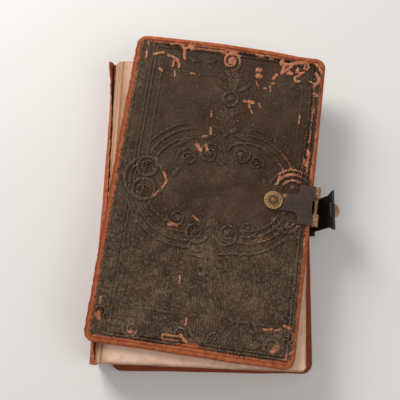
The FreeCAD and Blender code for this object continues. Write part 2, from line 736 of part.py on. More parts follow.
def make_cylinder(name, radius, length, x, y, z, axis):
    """A cylinder that starts at a place and runs along +Y or +Z; sizes are formulas."""
    cylinder = doc.addObject("Part::Cylinder", name)
    turn = Rotation(Vector(1, 0, 0), -90) if axis == "Y" else Rotation()
    cylinder.Placement = Placement(Vector(size(x), size(y), size(z)), turn)
    cylinder.setExpression("Radius", radius)
    cylinder.setExpression("Height", length)
    for key, formula in (("x", x), ("y", y), ("z", z)):
        cylinder.setExpression("Placement.Base." + key, formula)
    return cylinder


def make_box(name, x, y, z, length, width, height):
    box = doc.addObject("Part::Box", name)
    box.setExpression("Length", length)
    box.setExpression("Width", width)
    box.setExpression("Height", height)
    for key, formula in (("x", x), ("y", y), ("z", z)):
        box.setExpression("Placement.Base." + key, formula)
    return box


def join(name, pieces):
    fuse = doc.addObject("Part::MultiFuse", name)
    fuse.Shapes = pieces
    fuse.Refine = True
    return fuse


def cut(name, base, tool):
    result = doc.addObject("Part::Cut", name)
    result.Base = base
    result.Tool = tool
    result.Refine = True
    return result


def finish(label, shapes, place_it):
    """A finished sub-part: its shapes under one label, put in place as one."""
    piece = doc.addObject("Part::Compound", label)
    piece.Label = label
    piece.Links = shapes
    place_it(piece)
    return piece


def make_rivet(name, x, y, low, top, head):
    """A rivet from a height up to the metal's top, with a domed head if it has one."""
    shank = make_cylinder(name + "_shank", "Sizes.rivet_radius", "(%s) - (%s)" % (top, low), x, y, low, "Z")
    if not head:
        return shank
    dome = doc.addObject("Part::Cone", name + "_dome")
    dome.Placement = Placement(Vector(size(x), size(y), size(top)), Rotation())
    dome.setExpression("Radius1", "Sizes.rivet_head_radius")
    dome.setExpression("Radius2", "Sizes.rivet_radius")
    dome.setExpression("Height", "Sizes.rivet_head_height")
    for key, formula in (("x", x), ("y", y), ("z", top)):
        dome.setExpression("Placement.Base." + key, formula)
    return join(name + "_rivet", [shank, dome])


CATCH_TOP = "(" + COVER_THICKNESS + " + Sizes.metal_thickness)"
BAR_X = "(" + FORE_EDGE + " + Sizes.catch_reach)"
BAR_Z = "(" + CATCH_TOP + " - Sizes.catch_knuckle_radius)"
HALF_HEAD = "(Sizes.head_width / 2)"


def make_catch_plate():
    """A tongued plate whose two knuckles carry a bar beyond the fore-edge."""
    body = new_body("catch_blank")
    sketch = new_sketch(body, "catch_blank_outline", offset=COVER_THICKNESS)
    start = size("Sizes.tongue_start")
    neck = size("Sizes.head_start")
    far = size(BAR_X)
    tongue = size("Sizes.tongue_width") / 2
    wide = size(HALF_HEAD)
    sweep = (wide - tongue) / 2
    inward = sweep * (1 - math.sqrt(0.5))
    draw_outline(sketch, [
        arc_through(start, tongue, start - tongue, 0, start, -tongue),
        line(start, -tongue, neck - sweep, -tongue),
        arc_through(neck - sweep, -tongue, neck - inward, -tongue - inward, neck, -tongue - sweep),
        line(neck, -tongue - sweep, neck, -wide),
        line(neck, -wide, far, -wide),
        line(far, -wide, far, wide),
        line(far, wide, neck, wide),
        line(neck, wide, neck, tongue + sweep),
        arc_through(neck, tongue + sweep, neck - inward, tongue + inward, neck - sweep, tongue),
        line(neck - sweep, tongue, start, tongue),
    ])
    new_pad(body, "catch_blank_plate", sketch, "Sizes.metal_thickness")
    pierce(body, CATCH_RIVETS, COVER_THICKNESS, "Sizes.metal_thickness")
    gap = "(Sizes.head_width - 2 * Sizes.catch_knuckle_length)"
    slot = make_box("catch_slot", FORE_EDGE + " + Sizes.slot_start", "-" + gap + " / 2", "0",
                    "3 * Sizes.catch_reach", gap, "2 * " + CATCH_TOP)
    knuckles = []
    for side, low in (("tail", "-" + HALF_HEAD), ("head", HALF_HEAD + " - Sizes.catch_knuckle_length")):
        knuckles.append(make_cylinder("catch_knuckle_" + side, "Sizes.catch_knuckle_radius",
                                      "Sizes.catch_knuckle_length", BAR_X, low, BAR_Z, "Y"))
    bore = make_cylinder("catch_bore", "Sizes.bar_radius + Sizes.fixed_fit", "2 * Sizes.head_width",
                         BAR_X, "-Sizes.head_width", BAR_Z, "Y")
    solid = join("catch_solid", [body] + knuckles)
    pierced = cut("catch_pierced", solid, join("catch_cutters", [slot, bore]))
    return finish("catch_plate", [pierced], place_on_front)


def make_catch_bar():
    bar = make_cylinder("bar_rod", "Sizes.bar_radius", "Sizes.head_width", BAR_X, "-" + HALF_HEAD, BAR_Z, "Y")
    return finish("catch_bar", [bar], place_on_front)


def make_catch_rivets():
    """Two rivets through the catch and the front board; one also holds the rosette."""
    (x1, y1), (x2, y2) = CATCH_RIVETS
    low = "Sizes.pared_thickness"
    through = make_rivet("rosette", x1, y1, low, CATCH_TOP + " + Sizes.rosette_rise", True)
    side = make_rivet("tongue", x2, y2, low, CATCH_TOP, True)
    return finish("catch_rivets", [through, side], place_on_front)


def make_rosette():
    """A coned disc with petals pressed round it, on the end of the catch's tongue."""
    body = new_body("rosette_disc")
    sketch = new_sketch(body, "rosette_section", role="XZ_Plane")
    base = 0.0
    rise = size("Sizes.rosette_rise")
    radius = size("Sizes.rosette_radius")
    bore = size("Sizes.rivet_radius") + size("Sizes.fixed_fit")
    flat = size("Sizes.rivet_head_radius") + size("Sizes.petal_half_gap")
    rim = rise * 0.45
    draw_outline(sketch, [
        line(bore, base, radius, base),
        line(radius, base, radius, rim),
        line(radius, rim, flat, rise),
        line(flat, rise, bore, rise),
        line(bore, rise, bore, base),
    ])
    dome = body.newObject("PartDesign::Revolution", "rosette_dome")
    dome.Profile = sketch
    dome.ReferenceAxis = (sketch, ["V_Axis"])
    dome.Angle = 360
    doc.recompute()
    groove = new_sketch(body, "petal_groove_outline", offset="Sizes.rosette_rise * 0.35")
    half = size("Sizes.petal_half_gap")
    near = flat + 2 * half
    far = radius * 1.1
    draw_outline(groove, [line(near, -half, far, -half), line(far, -half, far, half),
                          line(far, half, near, half), line(near, half, near, -half)])
    first = new_pocket(body, "petal_groove", groove, "Sizes.rosette_rise")
    petals = body.newObject("PartDesign::PolarPattern", "petal_grooves")
    petals.Originals = [first]
    petals.Axis = (next(f for f in body.Origin.OriginFeatures if f.Role == "Z_Axis"), [""])
    petals.Angle = 360
    petals.setExpression("Occurrences", "Sizes.rosette_petals")
    body.Tip = petals
    doc.recompute()
    place(body, CATCH_RIVETS[0][0], CATCH_RIVETS[0][1], CATCH_TOP)
    return finish("catch_rosette", [body], place_on_front)


# The hasp and its hinge. The hasp is drawn flat along +X from the hinge's axis, then leaned up.

HALF_HINGE = "(Sizes.hinge_width / 2)"
HINGE_X = "(" + FORE_EDGE + " + Sizes.hinge_out)"
CENTRE_KNUCKLE = "(Sizes.hinge_width - 2 * Sizes.end_knuckle_length - 2 * Sizes.knuckle_gap)"


def make_hinge_plate():
    """A plate let into the underside of the back cover, with a knuckle at each end."""
    leaf_plate = make_box("hinge_leaf", FORE_EDGE + " - " + PLATE_LENGTH, "-" + HALF_HINGE, "0",
                          PLATE_LENGTH + " + Sizes.hinge_out", "Sizes.hinge_width",
                          "Sizes.hinge_plate_thickness")
    knuckles = []
    for side, low in (("tail", "-" + HALF_HINGE), ("head", HALF_HINGE + " - Sizes.end_knuckle_length")):
        knuckles.append(make_cylinder("hinge_knuckle_" + side, "Sizes.knuckle_radius",
                                      "Sizes.end_knuckle_length", HINGE_X, low, "Sizes.hinge_up", "Y"))
    open_width = "(Sizes.hinge_width - 2 * Sizes.end_knuckle_length)"
    gap = make_box("hinge_gap", FORE_EDGE + " + Sizes.knuckle_gap", "-" + open_width + " / 2",
                   "-Sizes.hinge_up", "3 * Sizes.hinge_out", open_width, "4 * Sizes.hinge_up")
    bore = make_cylinder("hinge_bore", "Sizes.pin_radius + Sizes.fixed_fit", "2 * Sizes.hinge_width",
                         HINGE_X, "-Sizes.hinge_width", "Sizes.hinge_up", "Y")
    holes = [make_cylinder("plate_hole_%d" % k, "Sizes.rivet_radius + Sizes.fixed_fit",
                           "4 * Sizes.hinge_plate_thickness", x, y, "-Sizes.hinge_plate_thickness", "Z")
             for k, (x, y) in enumerate(PLATE_RIVETS, start=1)]
    solid = join("hinge_solid", [leaf_plate] + knuckles)
    pierced = cut("hinge_pierced", solid, join("hinge_cutters", [gap, bore] + holes))
    return finish("hasp_hinge_plate", [pierced], place_on_back)


def make_plate_rivets():
    """Two flush rivets through the hinge plate and the back board."""
    top = "(Sizes.leather_thickness + Sizes.board_thickness)"
    rivets = [make_rivet("plate_%d" % k, x, y, "0", top, False)
              for k, (x, y) in enumerate(PLATE_RIVETS, start=1)]
    return finish("hasp_plate_rivets", rivets, place_on_back)


def make_hinge_pin():
    pin = make_cylinder("pin_rod", "Sizes.pin_radius", "Sizes.hinge_width", HINGE_X, "-" + HALF_HINGE,
                        "Sizes.hinge_up", "Y")
    return finish("hasp_hinge_pin", [pin], place_on_back)


def make_hasp():
    """The swinging plate: a centre knuckle, a plain waist, a flared end and a small hook."""
    body = new_body("hasp_blank")
    sketch = new_sketch(body, "hasp_outline", offset="-Sizes.metal_thickness / 2")
    neck = size(CENTRE_KNUCKLE) / 2
    waist = size("Sizes.hasp_width") / 2
    end = size("Sizes.hasp_end_width") / 2
    far = size("Sizes.hasp_length")
    shoulder = size("Sizes.knuckle_radius") + size("Sizes.knuckle_gap")
    flare = far - size("Sizes.hasp_flare_length")
    half = size("Sizes.hasp_flare_length") / 2
    step = (end - waist) / 2
    draw_outline(sketch, [
        line(0, -neck, shoulder, -neck),
        line(shoulder, -neck, shoulder, -waist),
        line(shoulder, -waist, flare, -waist),
        arc_through(flare, -waist, flare + half * 0.55, -waist - step * 0.3, flare + half, -waist - step),
        arc_through(flare + half, -waist - step, far - half * 0.55, -end + step * 0.3, far, -end),
        line(far, -end, far, end),
        arc_through(far, end, far - half * 0.55, end - step * 0.3, flare + half, waist + step),
        arc_through(flare + half, waist + step, flare + half * 0.55, waist + step * 0.3, flare, waist),
        line(flare, waist, shoulder, waist),
        line(shoulder, waist, shoulder, neck),
        line(shoulder, neck, 0, neck),
        line(0, neck, 0, -neck),
    ])
    new_pad(body, "hasp_sheet", sketch, "Sizes.metal_thickness")
    knuckle = make_cylinder("hasp_knuckle", "Sizes.knuckle_radius", CENTRE_KNUCKLE,
                            "0", "-" + CENTRE_KNUCKLE + " / 2", "0", "Y")
    hook = make_box("hasp_hook", "Sizes.hasp_length - Sizes.hook_thickness", "-Sizes.hook_width / 2", "0",
                    "Sizes.hook_thickness", "Sizes.hook_width", "Sizes.hook_depth + Sizes.metal_thickness / 2")
    bore = make_cylinder("hasp_bore", "Sizes.pin_radius + Sizes.pin_fit", "2 * Sizes.hinge_width",
                         "0", "-Sizes.hinge_width", "0", "Y")
    pierced = cut("hasp_pierced", join("hasp_solid", [body, knuckle, hook]), bore)
    return finish("hasp", [pierced], place_on_hinge)


def make_thumb_lip():
    """A half-round lip that stands out from the hasp's outer face, for the thumb."""
    half_round = doc.addObject("Part::Cylinder", "lip_half_round")
    turn = Rotation(Vector(0, -1, 0), Vector(0, 0, -1), Vector(1, 0, 0), "XYZ")
    half_round.Placement = Placement(Vector(0, 0, 0), turn)
    half_round.Angle = 180
    half_round.setExpression("Radius", "Sizes.lip_radius")
    half_round.setExpression("Height", "Sizes.lip_thickness")
    half_round.setExpression("Placement.Base.x", "Sizes.hasp_length - Sizes.lip_inset - Sizes.lip_thickness")
    half_round.setExpression("Placement.Base.z", "-Sizes.metal_thickness / 2")
    return finish("hasp_thumb_lip", [half_round], place_on_hinge)


pieces = make_back_cover()
pieces += [make_hinge_plate(), make_plate_rivets(), make_hinge_pin(), make_hasp(), make_thumb_lip()]
pieces += [make_page_block(), make_spine_lining(), make_spine_leather()]
pieces += make_front_cover()
pieces += [make_catch_plate(), make_catch_bar(), make_rosette(), make_catch_rivets()]
doc.recompute()

for made in doc.Objects:
    if "Invalid" in made.State or "Error" in made.State:
        raise RuntimeError(made.Name + " failed")

os.makedirs("parts", exist_ok=True)
for piece in pieces:
    shape = piece.Shape
    if shape.isNull() or not shape.isValid() or not shape.Solids:
        raise RuntimeError(piece.Label + " has no sound shape")
    shape.exportStep("parts/" + piece.Label + ".step")
    print(piece.Label, len(shape.Solids), round(shape.Volume, 2))
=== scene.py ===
"""A small clasped leather book: its finishes, its worn and torn surfaces and its stage.

The construction comes from the loaded frame, in metres. Lengths below are millimetres where
a function says so, because ornament and wear are easier to read at that size.
"""

import math
from contextlib import contextmanager
from functools import partialmethod

import bmesh
import bpy
import numpy as np
from bpy.props import FloatProperty, FloatVectorProperty, IntProperty, PointerProperty
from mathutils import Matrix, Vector


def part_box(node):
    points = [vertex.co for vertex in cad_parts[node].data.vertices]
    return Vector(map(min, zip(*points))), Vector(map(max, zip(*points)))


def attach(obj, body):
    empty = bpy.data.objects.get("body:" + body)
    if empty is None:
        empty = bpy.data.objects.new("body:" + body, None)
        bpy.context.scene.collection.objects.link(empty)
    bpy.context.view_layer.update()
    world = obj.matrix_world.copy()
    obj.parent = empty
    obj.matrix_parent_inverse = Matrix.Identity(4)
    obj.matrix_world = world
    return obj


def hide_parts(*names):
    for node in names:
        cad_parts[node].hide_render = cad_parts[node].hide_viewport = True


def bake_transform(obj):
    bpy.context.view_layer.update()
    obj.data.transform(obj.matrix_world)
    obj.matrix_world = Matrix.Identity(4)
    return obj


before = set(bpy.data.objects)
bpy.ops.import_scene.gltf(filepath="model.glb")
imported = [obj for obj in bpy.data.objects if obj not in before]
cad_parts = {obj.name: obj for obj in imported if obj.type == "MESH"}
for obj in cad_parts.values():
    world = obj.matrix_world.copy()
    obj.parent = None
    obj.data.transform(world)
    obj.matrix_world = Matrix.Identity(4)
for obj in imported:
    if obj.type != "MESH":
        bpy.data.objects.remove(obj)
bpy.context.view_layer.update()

bl_info = {
    "name": "Clasped Leather Book",
    "version": (1, 0, 0),
    "blender": (4, 5, 0),
    "location": "View3D > Sidebar > Book",
    "description": "Finishes and worn surfaces of a small clasped leather book",
    "category": "Object",
}

MM = 0.001

# How the loose pieces lie, in degrees about Z, as they were built
FRONT_TURN = -7.3
BLOCK_TURN = -1.5

# A cover in millimetres: its outline, and its layers from the pastedown out
COVER_HALF_WIDTH = 47.0
COVER_HALF_HEIGHT = 75.0
COVER_CORNER = 5.0
COVER_SHOULDER = 1.3
PASTE = 0.4
CARD = 2.0
SKIN = 0.6
COVER = PASTE + CARD + SKIN
TURN_IN = 9.0

# The page block and the spine leather round it, in millimetres
BLOCK_HALF_WIDTH = 45.55
BLOCK_HALF_HEIGHT = 73.1
BLOCK_THICKNESS = 16.0
BLOCK_ROUND = 4.7
BLOCK_HOLLOW = 1.2
SPINE_ROUND = 6.5
SPINE_FOOT_OUT = 2.5
SPINE_HALF_LENGTH = 73.7

# The catch on the front cover: its rosette, and the half widths of its plate with their starts
ROSETTE_X = 29.5
ROSETTE_RADIUS = 4.3
CATCH_STEPS = ((4.15, 29.5), (6.73, 38.6), (9.3, 41.5))

# The middle of the stamped panel stands nearer the fore-edge than the middle of the cover
PANEL_X = 3.3

# Points closer than this are one, in metres
SEAM = 1e-6


def paint(code):
    """A colour written as six hexadecimal digits, as linear red, green, blue and alpha."""
    parts = np.array([int(code[k:k + 2], 16) for k in (0, 2, 4)]) / 255
    linear = np.where(parts <= 0.04045, parts / 12.92, ((parts + 0.055) / 1.055) ** 2.4)
    return (*linear, 1.0)


def length(name, description, default):
    return FloatProperty(name=name, description=description, default=default, unit="LENGTH")


def colour(name, description, default):
    return FloatVectorProperty(name=name, description=description, size=4, subtype="COLOR",
                               default=paint(default))


class CoverSettings(bpy.types.PropertyGroup):
    relief_height: length("Relief height", "Height of the stamped ornament", 0.0005)
    rib_pitch: length("Rib pitch", "Distance between the fine stamped ribs", 0.00122)
    worn_band: length("Worn band", "Width of the bare band along the edges", 0.0033)
    film: colour("Film", "Colour of the dark outer film", "3a281d")
    bare: colour("Bare leather", "Colour where the film is gone", "b4673f")
    rubbed: colour("Rubbed ornament", "Colour of rubbed high spots", "c4865a")


class PageSettings(bpy.types.PropertyGroup):
    sections: IntProperty(name="Sections", description="Folded sections in the block", default=10)
    unevenness: length("Unevenness", "How far single leaves stand out", 0.00022)
    paper: colour("Paper", "Colour of the leaves", "e9c4aa")


class SpineSettings(bpy.types.PropertyGroup):
    thickness: length("Thickness", "Thickness of the spine leather", 0.0008)
    fray: length("Fray", "Depth of the torn edge's raggedness", 0.0011)


class MetalSettings(bpy.types.PropertyGroup):
    edge: length("Edge", "Width of the worn edges of the metal", 0.00016)
    petals: IntProperty(name="Petals", description="Petals of the rosette", default=24)


class StageSettings(bpy.types.PropertyGroup):
    lens: FloatProperty(name="Lens", description="Focal length in millimetres", default=54.0)
    tilt: FloatProperty(name="Tilt", description="Angle of the view from straight down",
                        default=math.radians(13.4), subtype="ANGLE")
    distance: length("Distance", "From the camera to its target", 0.302)


# Arrays and meshes

def ripple(x, y, pitch, seed):
    """Smooth unevenness between about -1 and 1: a mean of sine waves that run in mixed directions
    at about the given pitch."""
    count = 7
    total = np.zeros(np.broadcast(x, y).shape)
    for angle, stretch, phase in np.random.default_rng(seed).random((count, 3)):
        turn = 2 * math.pi * angle
        wave = 2 * math.pi / (pitch * (0.6 + 0.9 * stretch))
        total += np.sin(wave * (x * math.cos(turn) + y * math.sin(turn)) + 2 * math.pi * phase)
    return total / math.sqrt(2 * count)


def ragged(along, *waves):
    """Raggedness along an edge, at least zero: waves as pitches with seeds and weights."""
    return sum(weight * np.abs(ripple(along, along * 0, pitch, seed)) for pitch, seed, weight in waves)


def smooth_step(low, high, value):
    """Zero below low, one above high, with level ends between them."""
    part = np.clip((value - low) / (high - low), 0, 1)
    return part * part * (3 - 2 * part)


def surface(x, y, z):
    """Points from coordinates that are spread over each other."""
    return np.stack(np.broadcast_arrays(x, y, z), axis=-1)


def turned(x, y, degrees):
    """Points turned about Z."""
    angle = math.radians(degrees)
    return x * math.cos(angle) - y * math.sin(angle), x * math.sin(angle) + y * math.cos(angle)


def placed(points, shift, degrees):
    """Points in millimetres in a piece's own frame, moved to the row frame in metres."""
    x, y = turned(points[:, 0], points[:, 1], degrees)
    return surface(x, y, points[:, 2]) * MM + np.asarray(shift)


def grid_quads(rows, columns, first=0, closed=False, flip=False):
    """Quads of a grid of points numbered row by row; closed joins the last column to the first."""
    i = np.arange(rows - 1)[:, None]
    j = np.arange(columns if closed else columns - 1)[None, :]
    k = (j + 1) % columns
    corners = [i * columns + j, i * columns + k, (i + 1) * columns + k, (i + 1) * columns + j]
    quads = np.stack([np.broadcast_to(c, (rows - 1, j.size)) for c in corners], axis=-1)
    quads = quads.reshape(-1, 4) + first
    return quads[:, ::-1] if flip else quads


def rim_of(index):
    """The border of a grid of numbers, once round."""
    return np.concatenate([index[0, :-1], index[:-1, -1], index[-1, :0:-1], index[:0:-1, 0]])


def new_mesh(name, points, quads):
    """A mesh from an array of points and an array of quads."""
    mesh = bpy.data.meshes.new(name)
    mesh.vertices.add(len(points))
    mesh.vertices.foreach_set("co", np.ascontiguousarray(points, np.float32).ravel())
    mesh.loops.add(quads.size)
    mesh.loops.foreach_set("vertex_index", np.ascontiguousarray(quads, np.int32).ravel())
    mesh.polygons.add(len(quads))
    mesh.polygons.foreach_set("loop_start", np.arange(len(quads), dtype=np.int32) * 4)
    mesh.update(calc_edges=True)
    return mesh


def set_fields(mesh, **fields):
    """Stores arrays of one number or one vector a point as attributes."""
    for name, values in fields.items():
        kind, key = ("FLOAT_VECTOR", "vector") if values.ndim == 2 else ("FLOAT", "value")
        attribute = mesh.attributes.new(name, kind, "POINT")
        attribute.data.foreach_set(key, np.ascontiguousarray(values, np.float32).ravel())


@contextmanager
def edited(mesh):
    """An editable copy of a mesh, written back at the end of its block."""
    work = bmesh.new()
    work.from_mesh(mesh)
    yield work
    work.to_mesh(mesh)
    work.free()


def close_seams(mesh):
    """Merges points that lie on each other."""
    with edited(mesh) as work:
        bmesh.ops.remove_doubles(work, verts=work.verts, dist=SEAM)


def finish_piece(name, mesh, material, nodes, sharp=50.0):
    """Puts a finished mesh into the scene in place of CAD nodes."""
    piece = bpy.data.objects.new(name, mesh)
    bpy.context.scene.collection.objects.link(piece)
    mesh.materials.clear()
    mesh.materials.append(material)
    mesh.shade_smooth()
    mesh.set_sharp_from_angle(angle=math.radians(sharp))
    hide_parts(*nodes)
    return piece


def finish_node(node, material):
    """Gives a CAD node its material."""
    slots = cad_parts[node].data.materials
    slots.clear()
    slots.append(material)


# Shader building

class Value:
    """What a shader node puts out. Arithmetic on it adds Math nodes to its tree."""

    def __init__(self, socket):
        self.socket = socket

    def step(self, operation, *others):
        inputs = dict(enumerate((self, *others)))
        return Shades(self.socket.id_data).made("Math", inputs, operation=operation)

    __add__ = partialmethod(step, "ADD")
    __sub__ = partialmethod(step, "SUBTRACT")
    __mul__ = partialmethod(step, "MULTIPLY")
    sine = partialmethod(step, "SINE")
    at_least = partialmethod(step, "MAXIMUM")

    def eased(self, low, high, start=0.0, end=1.0):
        """The value eased from low to high on to start and end."""
        limits = {"Value": self, "From Min": low, "From Max": high, "To Min": start, "To Max": end}
        return Shades(self.socket.id_data).made("MapRange", limits, interpolation_type="SMOOTHSTEP")


class Shades:
    """A shader tree with the nodes that finishes use. A colour is a value, four numbers or six
    hexadecimal digits."""

    def __init__(self, tree):
        self.tree = tree

    def made(self, kind, inputs, output=0, **settings):
        """An output of a new node, whose inputs are linked where they are values."""
        node = self.tree.nodes.new("ShaderNode" + kind)
        for key, value in settings.items():
            setattr(node, key, value)
        for key, value in inputs.items():
            if isinstance(value, Value):
                self.tree.links.new(value.socket, node.inputs[key])
            else:
                node.inputs[key].default_value = paint(value) if isinstance(value, str) else value
        return Value(node.outputs[output])

    def field(self, name, output="Fac"):
        """A number or vector stored on the mesh."""
        return self.made("Attribute", {}, output, attribute_name=name)

    def stretched(self, place, stretch):
        return self.made("VectorMath", {0: place, 1: stretch}, operation="MULTIPLY")

    def object_place(self, x=1.0, y=1.0, z=1.0):
        """Object coordinates in millimetres, each axis times its stretch."""
        return self.stretched(self.made("TexCoord", {}, "Object"), (x / MM, y / MM, z / MM))

    def noise(self, place, scale, detail=5.0, roughness=0.6):
        """Fractal noise around one half, with its scale per millimetre."""
        return self.made("TexNoise", {"Vector": place, "Scale": scale, "Detail": detail,
                                      "Roughness": roughness})

    def mix(self, factor, first, second):
        """A mix of two colours by a factor."""
        return self.made("Mix", {0: factor, 6: first, 7: second}, 2, data_type="RGBA")

    def effect(self, name, *inputs):
        """A shared effect, with its inputs in its own order."""
        return self.made("Group", dict(enumerate(inputs)), node_tree=bpy.data.node_groups[name])


class Finish(Shades):
    """A new material, whose unchanging values are given by the names of its shader's sockets."""

    def __init__(self, name, constants):
        self.material = bpy.data.materials.new(name)
        self.material.use_nodes = True
        super().__init__(self.material.node_tree)
        self.shader = self.tree.nodes["Principled BSDF"]
        for key, value in constants.items():
            self.shader.inputs[key].default_value = value

    def done(self, colour, roughness, height, depth):
        """Links what changes over the surface; the bump's depth is in millimetres."""
        bump = self.made("Bump", {"Height": height, "Distance": depth * MM, "Strength": 1.0})
        for key, value in (("Base Color", colour), ("Roughness", roughness), ("Normal", bump)):
            self.tree.links.new(value.socket, self.shader.inputs[key])
        return self.material


def new_group(name, output, inputs, fill):
    """A shader node group; fill(shades, *inputs) returns the value that it puts out."""
    tree = bpy.data.node_groups.new(name, "ShaderNodeTree")
    for label, kind in inputs:
        tree.interface.new_socket(label, in_out="INPUT", socket_type="NodeSocket" + kind)
    tree.interface.new_socket(output[0], in_out="OUTPUT", socket_type="NodeSocket" + output[1])
    source = tree.nodes.new("NodeGroupInput")
    target = tree.nodes.new("NodeGroupOutput")
    given = [Value(source.outputs[label]) for label, kind in inputs]
    tree.links.new(fill(Shades(tree), *given).socket, target.inputs[0])


def make_shared_effects():
    """The effects that several finishes use."""
    where = [("Vector", "Vector"), ("Scale", "Float")]

    def worn_through(shades, wear, place, scale, raggedness):
        return (wear + (shades.noise(place, scale) - 0.5) * raggedness).eased(0.44, 0.56)

    def mottle(shades, place, scale, first, second):
        return shades.mix(shades.noise(place, scale, 6.0, 0.65).eased(0.34, 0.66), first, second)

    def grain(shades, place, scale):
        cells = shades.made("TexVoronoi", {"Vector": place, "Scale": scale}, "Distance",
                            feature="SMOOTH_F1")
        return cells + shades.noise(place, scale * 0.35, 3.0)

    new_group("Worn through", ("Mask", "Float"), [("Wear", "Float"), *where, ("Raggedness", "Float")],
              worn_through)
    new_group("Mottle", ("Color", "Color"), [*where, ("First", "Color"), ("Second", "Color")], mottle)
    new_group("Leather grain", ("Height", "Float"), where, grain)


def stamped_leather(name, settings, stamped):
    """Dark filmed leather: fine streaks and grain, a bare band at the edges, rubbed ornament."""
    make = Finish(name, {"Specular IOR Level": 0.09})
    place = make.field("board_place", "Vector")
    loss = make.field("film_loss")
    fibres = make.noise(place, 1.9, 8.0, 0.75)
    strands = (loss * 34.0 + fibres * 5.0).sine()
    red = make.effect("Mottle", place, 0.35, "96492d", settings.bare)
    red = make.mix(strands.eased(0.35, 1.0, 0.0, 0.6), red, "73341f")
    red = make.mix(fibres.eased(0.55, 0.74), red, "cf9068")
    # Painted shade: the rim field darkens the bare leather towards 76331f, in a line along the front
    # cover's spine-side edge and over the whole back cover.
    red = make.mix(make.field("rim") * 0.75, red, "76331f")
    worn = make.effect("Worn through", loss, place, 1.1, 1.8)
    grain = make.effect("Leather grain", place, 1.6)
    height = grain * 0.35
    colour = make.effect("Mottle", place, 0.12, settings.film, "463326")
    if stamped:
        relief = make.field("relief")
        furrow = make.field("furrow")
        scuff = make.field("scuff")
        # Painted light with some dirt: the colour is lightened up to 1.16 times on the raised ornament as
        # a painted highlight, and darkened in the furrows beside it as painted shade and dirt.
        relief_light_and_dirt = relief.eased(0.0, 0.7, 1.0, 1.16) - furrow * 1.5
        colour = make.made("VectorMath", {0: colour, 3: relief_light_and_dirt}, operation="SCALE")
        pitch = 2 * math.pi * MM / settings.rib_pitch
        upright, level = ((make.made("SeparateXYZ", {0: place}, axis) * pitch).sine() * make.field(share)
                          for axis, share in (("X", "ribs_up"), ("Y", "ribs_across")))
        streaks = make.noise(make.stretched(place, (2.4, 0.9, 1.0)), 1.3, 4.0, 0.8)
        ribs = (upright + level) * streaks
        height = height + ribs * 0.22 + streaks * 0.3

        clouds = make.noise(place, 0.13, 4.0)
        touched = ribs * 0.08 + streaks + relief * 0.05 + clouds * 0.5
        olive = make.effect("Mottle", place, 0.3, "594838", "78654f")
        colour = make.mix(touched.eased(0.72, 0.92) * scuff, colour, olive)
        dots = make.noise(place, 1.05, 2.0, 0.7) + (relief * 0.06 + furrow * 0.22)
        colour = make.mix(dots.eased(0.66, 0.73, 0.0, 0.85), colour, "8e7b6b")
        grit = make.noise(place, 0.8, 3.0, 0.8).eased(0.52, 0.62, 0.0, 0.55)
        colour = make.mix(grit * scuff, colour, "75644f")

        orange = make.effect("Mottle", place, 0.5, "a05a44", settings.rubbed)
        tint = make.noise(place, 0.24, 2.0)
        orange = make.mix(tint.eased(0.52, 0.6, 0.0, 0.45), orange, "b56a5e")
        orange = make.mix(fibres.eased(0.42, 0.3, 0.0, 0.7), orange, "6e3c2a")
        rub = make.effect("Worn through", make.field("rubbed"), place, 1.5, 2.1)
        colour = make.mix(rub, colour, orange)
    colour = make.mix(worn, colour, red)
    height = height + fibres * (worn * 1.2) - worn * 0.8
    roughness = (worn + grain * 0.2).eased(0.0, 1.1, 0.5, 0.85)
    return make.done(colour, roughness, height, 0.16)


def torn_leather(name):
    """Dry red-brown leather whose dark film is left in patches, a flesh side inside it whose colour
    is brightened as painted light, and a paler fibrous torn edge."""
    make = Finish(name, {"Specular IOR Level": 0.2})
    place = make.object_place()
    long_place = make.object_place(y=0.35)
    fibres = make.noise(long_place, 2.2, 8.0, 0.75)
    red = make.effect("Mottle", place, 0.35, "8a3a20", "a85230")
    # Painted light: the flesh side is given a brighter red-brown, a34d2c, as if lit, where it faces away
    # from the key lamp.
    red = make.mix(make.field("flesh"), red, "a34d2c")
    left = make.effect("Worn through", make.field("film_left"), long_place, 0.55, 1.6)
    torn = make.effect("Worn through", make.field("torn"), place, 1.4, 1.0)
    fibrous = make.mix(fibres.eased(0.4, 0.65), "9a4a2b", "bd7a52")
    colour = make.mix(torn, make.mix(left, red, "3f2b22"), fibrous)
    height = make.effect("Leather grain", place, 1.3) * 0.6 + fibres
    return make.done(colour, fibres.eased(0.3, 0.7, 0.62, 0.9), height, 0.2)


def page_paper(name, settings):
    """Aged leaves: their edges as fine layers through the block, darker and stained at the rim."""
    make = Finish(name, {"Specular IOR Level": 0.25})
    place = make.object_place()
    layers = make.noise(make.object_place(0.05, 0.05, 4.2), 1.0, 4.0, 0.7)
    fine = make.noise(make.object_place(0.12, 0.12, 11.0), 1.0, 3.0, 0.7)
    lines = layers * 0.6 + fine * 0.4
    edge = make.field("leaf_edge")
    cream = make.effect("Mottle", place, 0.06, settings.paper, "e0b79b")
    colour = make.mix(edge, cream, make.mix(lines.eased(0.38, 0.62), "7e5f48", "cfa98a"))
    fold = make.mix(lines.eased(0.36, 0.64), "a87d5c", "d2a37d")
    colour = make.mix(make.field("fold"), colour, fold)
    # Painted shade: a dark line, 6b412c, in the creases between the sections on the spine side of the
    # block.
    colour = make.mix(make.field("crease"), colour, "6b412c")
    stain = make.effect("Worn through", make.field("stain"), place, 0.35, 1.2)
    colour = make.mix(stain * 0.3, colour, "b98a6c")
    fibre = make.noise(place, 3.0, 4.0)
    height = lines * edge * 2.2 + fibre * 0.12
    return make.done(colour, fibre.eased(0.3, 0.7, 0.78, 0.92), height, 0.14)


def plain_paper(name, first, second):
    """Aged paper without print, clouded, specked and a little fibrous."""
    make = Finish(name, {"Specular IOR Level": 0.25})
    place = make.object_place()
    specks = make.noise(place, 0.5, 2.0, 0.7).eased(0.66, 0.74)
    colour = make.mix(specks * 0.4, make.effect("Mottle", place, 0.12, first, second), "8d6a4c")
    fibre = make.noise(place, 2.6)
    return make.done(colour, fibre.eased(0.3, 0.7, 0.75, 0.92), fibre, 0.05)


